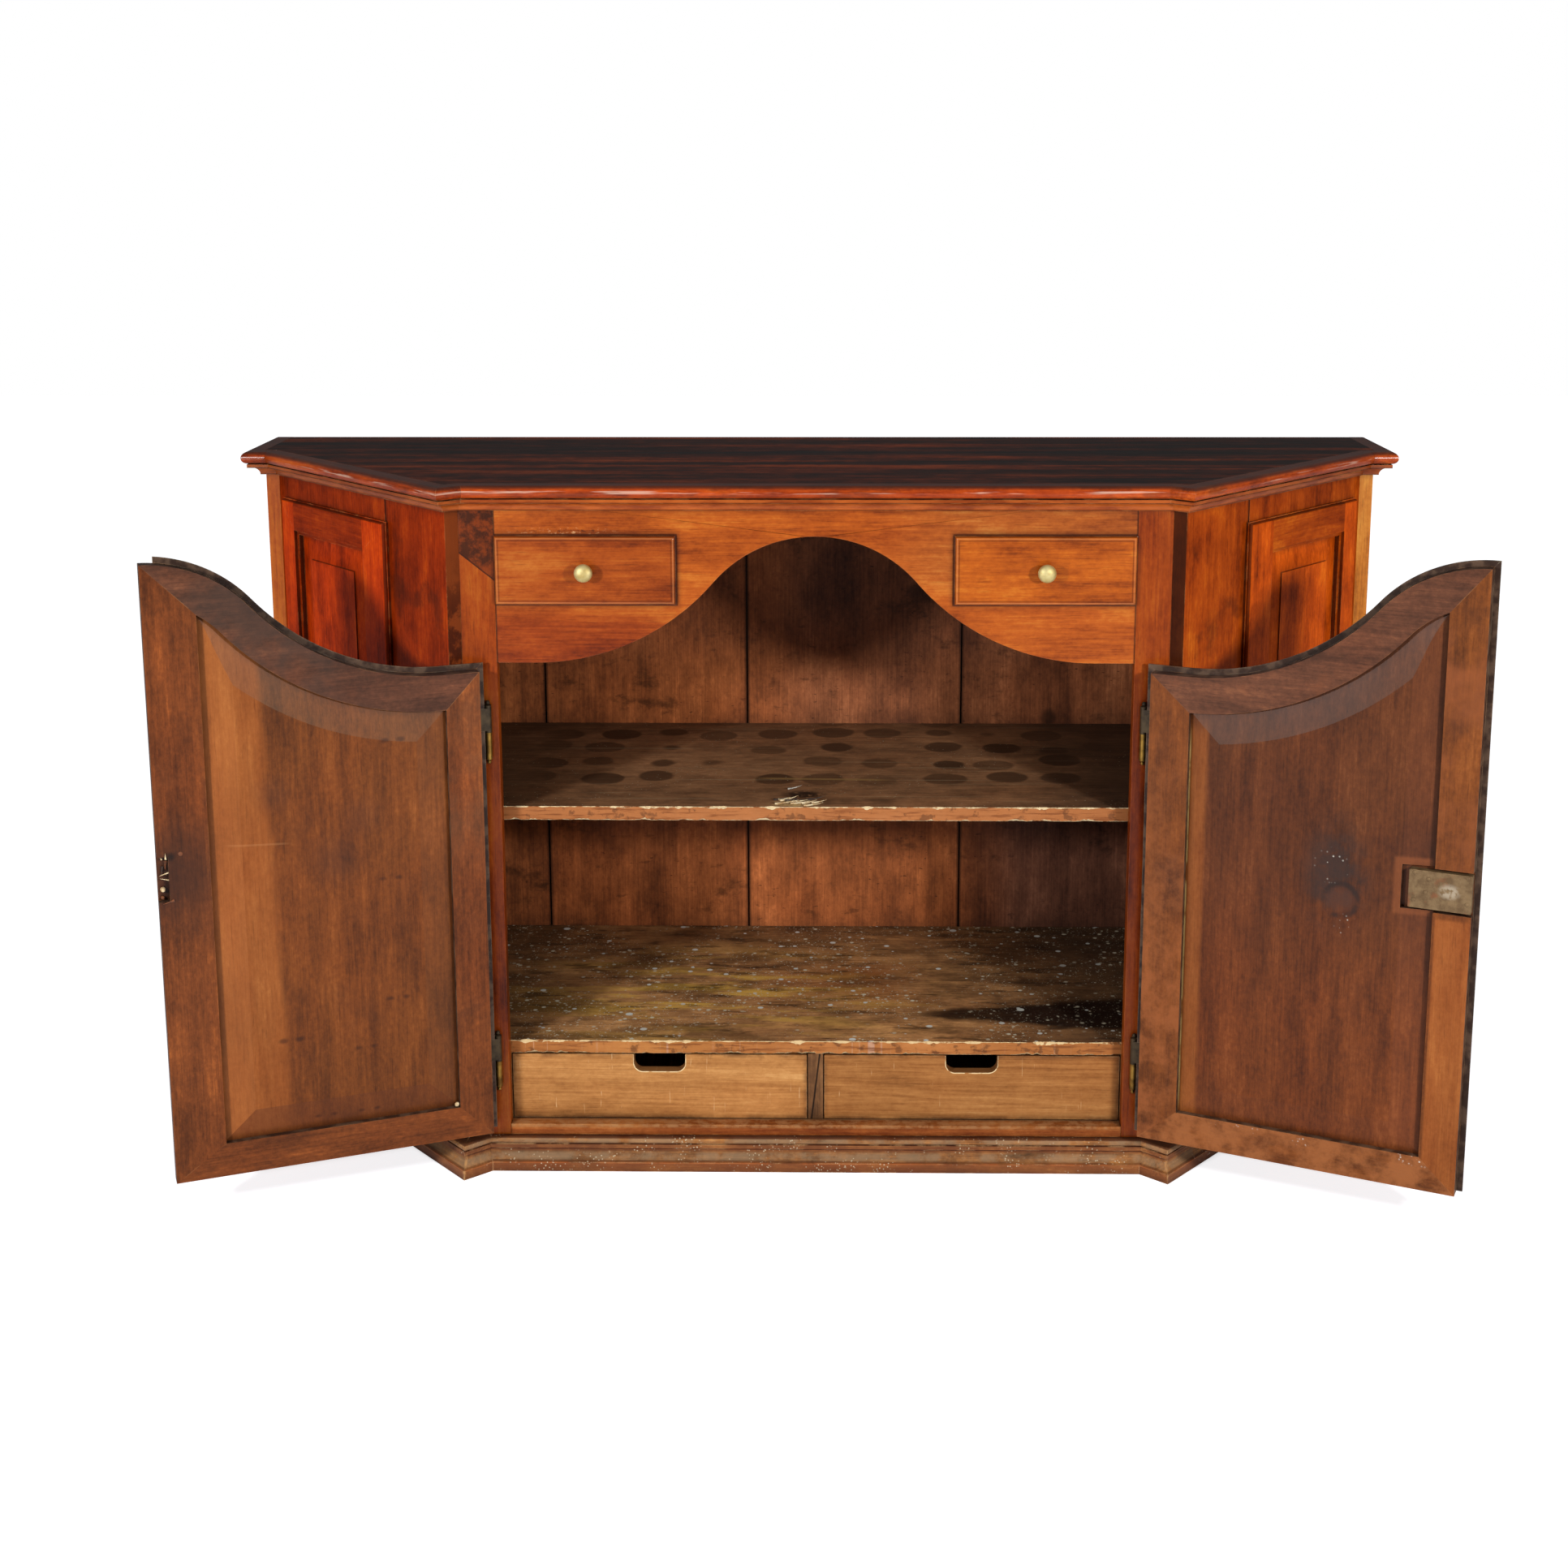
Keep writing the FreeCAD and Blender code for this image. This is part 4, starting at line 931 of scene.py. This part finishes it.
def shelfPaint(f):  # ring marks, streaks, ends darkened as painted shadow of the doors, and the torn place at the front
    x, y = f.dot(axisX), f.dot(axisY)
    drift = f.noise(f.place, 9, 4, 0.6)
    grid = f.pack(x + (drift - 0.5) * 0.02, y * 1.02 + (drift - 0.5) * 0.02, 0.0)
    spacing, jitter, reach = (shelfLook[key] for key in ("spacing", "jitter", "reach"))
    away = f.cells(grid, spacing, jitter)
    pick = f.node("SeparateColor", {}, [f.cells(grid, spacing, jitter, "Color")])
    ring = (away + (drift - 0.5) * 0.1).fall(reach - 0.05, reach + 0.02)
    area = y.within(0.13, 0.5, 0.05) * x.within(-0.42, 0.42, 0.06)
    f.lay(ring * area * (0.5 + pick * 0.5) * pick.step(0.08, 0.2), shelfLook["stain"])
    f.lay(f.flow(x * 2.2, y * 90, 0.0, 3).step(0.6, 0.72) * 0.5, (166, 142, 108))
    f.lay(y.step(0.40, 0.51) * 0.5, (66, 48, 32))
    # painted shadow of the doors over both ends, greyer at the right
    f.lay(x.size().step(0.26, 0.5) * 0.62, (38, 25, 17))
    f.lay(x.step(0.26, 0.46) * 0.3, (58, 50, 46))
    f.lay(f.specks(f.pack(x, y, 0.0), 120, 0.06, 0.14) * drift.step(0.45, 0.6) * 0.7, (206, 192, 160))
    hole = spot(x * 0.6, y, -0.018 * 0.6, 0.096, 0.018, 0.009) * f.cloud(85, 0.34, 0.52, 4, 0.7)
    f.lay(hole * 0.9, (32, 21, 15))
    smear = x.within(0.0, 0.11, 0.02) * y.within(0.044, 0.078, 0.01) * drift.step(0.3, 0.6)
    f.lay(smear * 0.8, (48, 31, 21))
    torn = f.flow(x * 90, y * 150, 0.0, 4, 0.7).step(0.44, 0.54)
    f.lay(spot(x * 0.5, y, -0.029 * 0.5, 0.052, 0.016, 0.006) * torn, (208, 174, 116))
    thread = (y - 0.178 + x * 0.04).size().fall(0.002, 0.007) * x.within(-0.08, 0.1, 0.02)
    f.lay(thread * drift.step(0.35, 0.6) * 0.6, (168, 130, 78))
    frontEdge(f, (172, 104, 56), (232, 206, 160))


def deckPaint(f):  # ochre, stains, ends darkened as painted shadow of the doors, a dark wedge at the right, and specks
    x, y = f.dot(axisX), f.dot(axisY)
    drift = f.noise(f.place, 7, 4, 0.6)
    ochre = f.flow(x * 3.2, y * 17, 0.0, 4, 0.62)
    f.lay(ochre.step(0.46, 0.6) * spot(x * 0.6, y, -0.1, 0.2, 0.14, 0.13), (222, 174, 80))
    f.lay(spot(x * 0.8, y, 0.06, 0.27, 0.08, 0.09) * drift.step(0.35, 0.6) * 0.65, (150, 84, 38))
    f.lay(f.flow(x * 6, y * 11, 0.0, 5, 0.65).step(0.46, 0.6) * 0.52, (62, 40, 23))
    f.lay(y.step(0.30, 0.46) * 0.4, (56, 36, 20))
    # painted shadow of the doors over both ends, greyer at the right
    f.lay((x.step(-0.3, -0.48) * 0.45).most(x.step(0.16, 0.45) * 0.6), (40, 26, 17))
    f.lay(x.step(0.22, 0.46) * 0.3, (58, 50, 46))
    f.lay(f.flow(x * 10, y * 42, 0.0, 4, 0.7).step(0.54, 0.64) * 0.65, (46, 30, 19))
    along = ((x - 0.118) / 0.35).most(0.0)
    wedge = ((y - 0.128).size() - along * 0.066 + (drift - 0.5) * 0.06).step(0.008, -0.012)
    f.lay(wedge * x.step(0.1, 0.2) * 0.92, (30, 17, 12))
    grid = f.pack(x, y, 0.0)
    big = f.cells(grid, 36)
    pick = f.node("SeparateColor", {}, [f.cells(grid, 36, 1.0, "Color")])
    speck = (big - pick * pick * 0.15 - 0.03).fall(0.0, 0.05)
    zone = f.cloud(4.5, 0.3, 0.5, 2)
    f.lay(speck * (0.65 + zone * 0.3) * pick.step(0.02, 0.12), (214, 216, 208))
    for scale, weight in ((46, 0.95), (80, 0.9), (150, 0.8), (220, 0.6)):
        fine = f.specks(f.pack(x, y + 0.31, 0.0), scale, 0.09, 0.2)
        f.lay(fine * drift.step(0.38, 0.56) * weight, (212, 204, 178))
    crumb = f.flow(x * 60, y * 130, 0.0, 4, 0.7).step(0.66, 0.72)
    f.lay(crumb * drift.step(0.4, 0.6) * 0.55, (196, 160, 104))
    frontEdge(f, (176, 108, 54), (226, 196, 146))


shelfFinish = finishWood("shelf", *flatGrain, 51, shelfLook, shelfPaint)
deckFinish = finishWood("drawer_deck", *flatGrain, 52, deckLook, deckPaint)
dress("shelf", shelfFinish)
dress("drawer_deck", deckFinish)
wornBoard("worn_shelf", "shelf", shelfLook, shelfFinish)
wornBoard("worn_deck", "drawer_deck", deckLook, deckFinish)
print("worn boards made")

# small broken and fixed pieces
plainLooks = {  # light and dark shade, scale of the grain and roughness
    "creamWood": ((236, 218, 178), (176, 136, 84), 160, 0.6),
    "plugWood": ((120, 64, 27), (76, 42, 21), 160, 0.6),
    "darkWood": ((70, 48, 32), (40, 27, 19), 160, 0.6),
    "nailIron": ((196, 190, 178), (92, 84, 74), 300, 0.35),
}


def finishPlain(name):
    light, dark, scale, rough = plainLooks[name]
    f = Finish(name)
    grain = f.noise(f.place, scale, 3, 0.6)
    f.colour = f.blend(grain.step(0.3, 0.7), tint(*dark), tint(*light))
    f.rough = rough + grain * 0.2
    f.surface()
    f.bump(grain, 0.3, 0.0006)
    return f


creamWood, plugWood, darkWood, nailIron = (finishPlain(name) for name in plainLooks)


def skin(name, rings, finish, body):  # a closed skin over rings of points
    n = len(rings[0])
    verts = [point for ring in rings for point in ring]
    faces = []
    for i in range(len(rings) - 1):
        for k in range(n):
            a, b = i * n + k, i * n + (k + 1) % n
            faces.append((a, b, b + n, a + n))
    faces += [tuple(range(n)), tuple(range(len(verts) - n, len(verts)))]
    return addMesh(name, verts, faces, finish, body)


sliverLook = {"stations": 6, "taper": 0.92, "thin": 0.85, "bend": 0.16}
domeLook = {"turns": 14, "rings": ((1.0, 0.0), (0.97, 0.45), (0.75, 0.85), (0.4, 1.0))}


def sliver(name, base, way, lift, size, rnd, finish, body):  # a torn splinter, tapered and bent
    length, width, thick = size
    side = lift.cross(way)
    rings = []
    for i in range(sliverLook["stations"]):
        t = i / (sliverLook["stations"] - 1)
        half = width * 0.5 * (1 - sliverLook["taper"] * t) * rnd.uniform(0.75, 1.15)
        high = thick * (1 - sliverLook["thin"] * t)
        mid = base + way * (length * t) + lift * (thick * 0.4 + length * sliverLook["bend"] * t * t)
        wide, slim, up = side * half, side * half * 0.7, lift * high
        rings.append((mid - wide, mid + wide, mid + slim + up, mid - slim + up))
    skin(name, rings, finish, body)


def domed(name, centre, axis, reach, rise, finish, body):  # a low rivet or nail head
    side = axis.cross(axisZ).normalized()
    other = axis.cross(side)
    rings = []
    for r, h in domeLook["rings"]:
        angles = [2 * math.pi * k / domeLook["turns"] for k in range(domeLook["turns"])]
        rings.append([centre + axis * (rise * h) + (side * math.cos(a) + other * math.sin(a)) * (reach * r)
                      for a in angles])
    obj = skin(name, rings, finish, body)
    obj.data.polygons.foreach_set("use_smooth", [True] * len(obj.data.polygons))


def doorPoint(side, s, z, depth):
    pivot, way, normal = doorWays[side]
    point = pivot + way * s + normal * depth
    return Vector((point.x, point.y, z))


shelfTorn = {"count": 14, "start": -0.062, "step": 0.0042, "front": 0.039, "sunk": 0.0003, "thick": 0.0018}
nailLook = {"at": (-0.041, 0.121), "way": (0.92, 0.39, 0), "size": (0.022, 0.0034, 0.002)}
strikeBits = (  # place on the door, direction, length, width, depth and finish of each splinter at the strike
    (0.4388, 0.5077, 1, -0.27, 0.0135, 0.0020, 0.0215, creamWood),
    (0.4388, 0.4968, 1, 0.33, 0.0125, 0.0018, 0.0205, creamWood),
    (0.4420, 0.5270, 0, 1, 0.0090, 0.0026, 0.0246, creamWood),
    (0.4415, 0.5225, 0.1, -1, 0.0120, 0.0060, 0.0150, plugWood),
    (0.4336, 0.4694, 1, -0.22, 0.0150, 0.0042, 0.0246, plugWood),
    (0.4460, 0.5150, 0.2, -1, 0.0140, 0.0030, 0.0150, darkWood),
)
strikeThick = 0.0016
leftLumps = {  # place on the left door, depth, radius, height and finish
    "strike_lump_0": (0.4470, 0.4834, 0.0145, 0.0034, 0.0075, creamWood),
    "strike_lump_1": (0.4477, 0.4721, 0.0145, 0.0026, 0.0050, plugWood),
    "strike_lump_2": (0.4468, 0.5262, 0.0145, 0.0013, 0.0080, creamWood),
    "strike_plug": (0.4226, 0.5324, 0.0252, 0.0031, 0.0011, plugWood),
    "panel_crumb_a": (0.0665, 0.119, 0.0213, 0.0034, 0.0022, creamWood),
}
rivetLook = {"depth": 0.0263, "reach": 0.0028, "rise": 0.0011}
rivetSpots = (
    (0.397, 0.505), (0.3935, 0.4865), (0.379, 0.512), (0.447, 0.512), (0.447, 0.477), (0.379, 0.475),
)


def makeTorn():
    rnd = random.Random(17)
    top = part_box("shelf")[1].z
    for i in range(shelfTorn["count"]):
        angle = rnd.uniform(-0.1, 0.6)
        x = shelfTorn["start"] + shelfTorn["step"] * i + rnd.uniform(-0.003, 0.003)
        base = Vector((x, shelfTorn["front"] + rnd.uniform(0, 0.03), top - shelfTorn["sunk"]))
        way = Vector((math.cos(angle), math.sin(angle) * 0.6, 0)).normalized()
        size = (rnd.uniform(0.014, 0.032), rnd.uniform(0.004, 0.008), shelfTorn["thick"])
        finish = creamWood if i % 4 else darkWood
        sliver(f"shelf_splinter_{i}", base, way, axisZ, size, rnd, finish, "case")
    base = Vector((*nailLook["at"], top))
    sliver("shelf_nail", base, Vector(nailLook["way"]), axisZ, nailLook["size"], rnd, nailIron, "case")
    way, normal = doorWays["left"][1:]
    for i, (s, z, run, rise, length, width, depth, finish) in enumerate(strikeBits):
        aim = (way * run + axisZ * rise).normalized()
        base = doorPoint("left", s, z, depth)
        size = (length, width, strikeThick)
        sliver(f"strike_splinter_{i}", base, aim, normal, size, rnd, finish, "door_left")
    for name, (s, z, depth, reach, rise, finish) in leftLumps.items():
        domed(name, doorPoint("left", s, z, depth), normal, reach, rise, finish, "door_left")
    normal = doorWays["right"][2]
    depth, reach, rise = rivetLook.values()
    for i, (s, z) in enumerate(rivetSpots):
        domed(f"lock_rivet_{i}", doorPoint("right", s, z, depth), normal, reach, rise, lockIron, "door_right")


makeTorn()
print("small pieces made")

easeLook = {"width": 0.0009, "segments": 2, "angle": 38, "crisp": 8, "weld": 0.00002}
keptSharp = ("shelf", "drawer_deck", "back_boards")


def modify(obj, name, kind, **values):
    made = obj.modifiers.new(name, kind)
    for key, value in values.items():
        setattr(made, key, value)


def easeEdges():  # a slight rounding of every arris but those of brass and of the boards named above
    for name, obj in nodes.items():
        if "hinge" in name and "stile" not in name or "knob" in name or name in keptSharp:
            continue
        modify(obj, "weld", "WELD", merge_threshold=easeLook["weld"])
        modify(obj, "ease", "BEVEL", width=easeLook["width"], segments=easeLook["segments"],
               limit_method="ANGLE", angle_limit=math.radians(easeLook["angle"]), use_clamp_overlap=True)
        modify(obj, "crisp", "EDGE_SPLIT", split_angle=math.radians(easeLook["crisp"]))
        modify(obj, "even", "WEIGHTED_NORMAL", keep_sharp=False)


easeEdges()

# floor, light and camera
stageLook = {
    "floor": (226, 230, 240), "floorPale": (236, 238, 244), "floorEdges": (-9, -7, 9, 11),
    "glow": 0.9, "near": 0.66, "bounce": 0.1, "fill": (0.1, 0.3), "backdrop": 1.0,
    "keyLeft": (-1.68, -2.15, 1.36), "keyRight": (1.56, -2.15, 1.36), "keyAim": (0, 0.1, 0.6),
    "keySize": 0.28, "keyPower": 47,
}
viewLook = {
    "at": (0.0318, -2.9028, 1.4125), "yaw": -0.0159, "pitch": 0.1969, "roll": -0.0017,
    "lens": 49.50, "sensor": 36, "shift": (-0.0131, -0.1150),
}


def makeFloor():
    f = Finish("floorPaint")
    cloud = f.noise(f.place, 1.5, 3)
    f.colour = f.blend(cloud, tint(*stageLook["floor"]), tint(*stageLook["floorPale"]))
    f.rough = 0.7 + cloud * 0.1
    low, near, far = ((*[stageLook[key]] * 3, 1) for key in ("bounce", "near", "glow"))
    x, y = f.dot(axisX), f.dot(axisY) - 0.1
    seen = f.blend((x * x * 0.6 + y * y).root().step(0.55, 1.5), near, far)
    glow = f.blend(f.node("LightPath", {}, {}, "Is Camera Ray"), low, seen)
    f.surface(Specular_IOR_Level=0.1, Emission_Color=glow, Emission_Strength=1.0)
    x0, y0, x1, y1 = stageLook["floorEdges"]
    mesh = meshFrom("floor", [(x0, y0, 0), (x1, y0, 0), (x1, y1, 0), (x0, y1, 0)], [(0, 1, 2, 3)])
    mesh.materials.append(f.material)
    place("floor", mesh)


def makeLights():
    for name in ("keyLeft", "keyRight"):
        lamp = bpy.data.lights.new(name, "AREA")
        lamp.shape = "DISK"
        lamp.size = stageLook["keySize"]
        lamp.energy = stageLook["keyPower"]
        obj = place(name, lamp)
        obj.location = stageLook[name]
        obj.rotation_euler = (obj.location - Vector(stageLook["keyAim"])).to_track_quat("Z", "Y").to_euler()
    world = bpy.data.worlds.new("studio")
    bpy.context.scene.world = world
    net = Net(world)
    low, high = stageLook["fill"]
    height = net.node("SeparateXYZ", {}, [net.node("TexCoord", {}, {}, "Generated")], "Z")
    dome = net.node("MapRange", {}, {0: height, 3: low, 4: high})
    direct = net.node("LightPath", {}, {}, "Is Camera Ray")
    seen = net.node("MapRange", {}, {0: direct, 3: dome, 4: stageLook["backdrop"]})
    back = net.tree.nodes["Background"]
    net.feed(back.inputs["Strength"], seen)
    net.feed(back.inputs["Color"], (1, 1, 1, 1))


def makeCamera():
    yaw, pitch, roll = (viewLook[key] for key in ("yaw", "pitch", "roll"))
    (sinYaw, cosYaw), (sinPitch, cosPitch) = ((math.sin(a), math.cos(a)) for a in (yaw, pitch))
    across = Vector((cosYaw, -sinYaw, 0))
    rise = Vector((sinYaw * sinPitch, cosYaw * sinPitch, cosPitch))
    ahead = Vector((sinYaw * cosPitch, cosYaw * cosPitch, -sinPitch))
    right = across * math.cos(roll) + rise * math.sin(roll)
    up = rise * math.cos(roll) - across * math.sin(roll)
    data = bpy.data.cameras.new("photoCamera")
    data.lens = viewLook["lens"]
    data.sensor_width = viewLook["sensor"]
    data.shift_x, data.shift_y = viewLook["shift"]
    obj = place("photoCamera", data)
    turn = Matrix((right, up, -ahead)).transposed().to_4x4()
    obj.matrix_world = Matrix.Translation(viewLook["at"]) @ turn
    bpy.context.scene.camera = obj


makeFloor()
makeLights()
makeCamera()
bpy.context.scene.view_settings.view_transform = "Standard"
print("stage set")
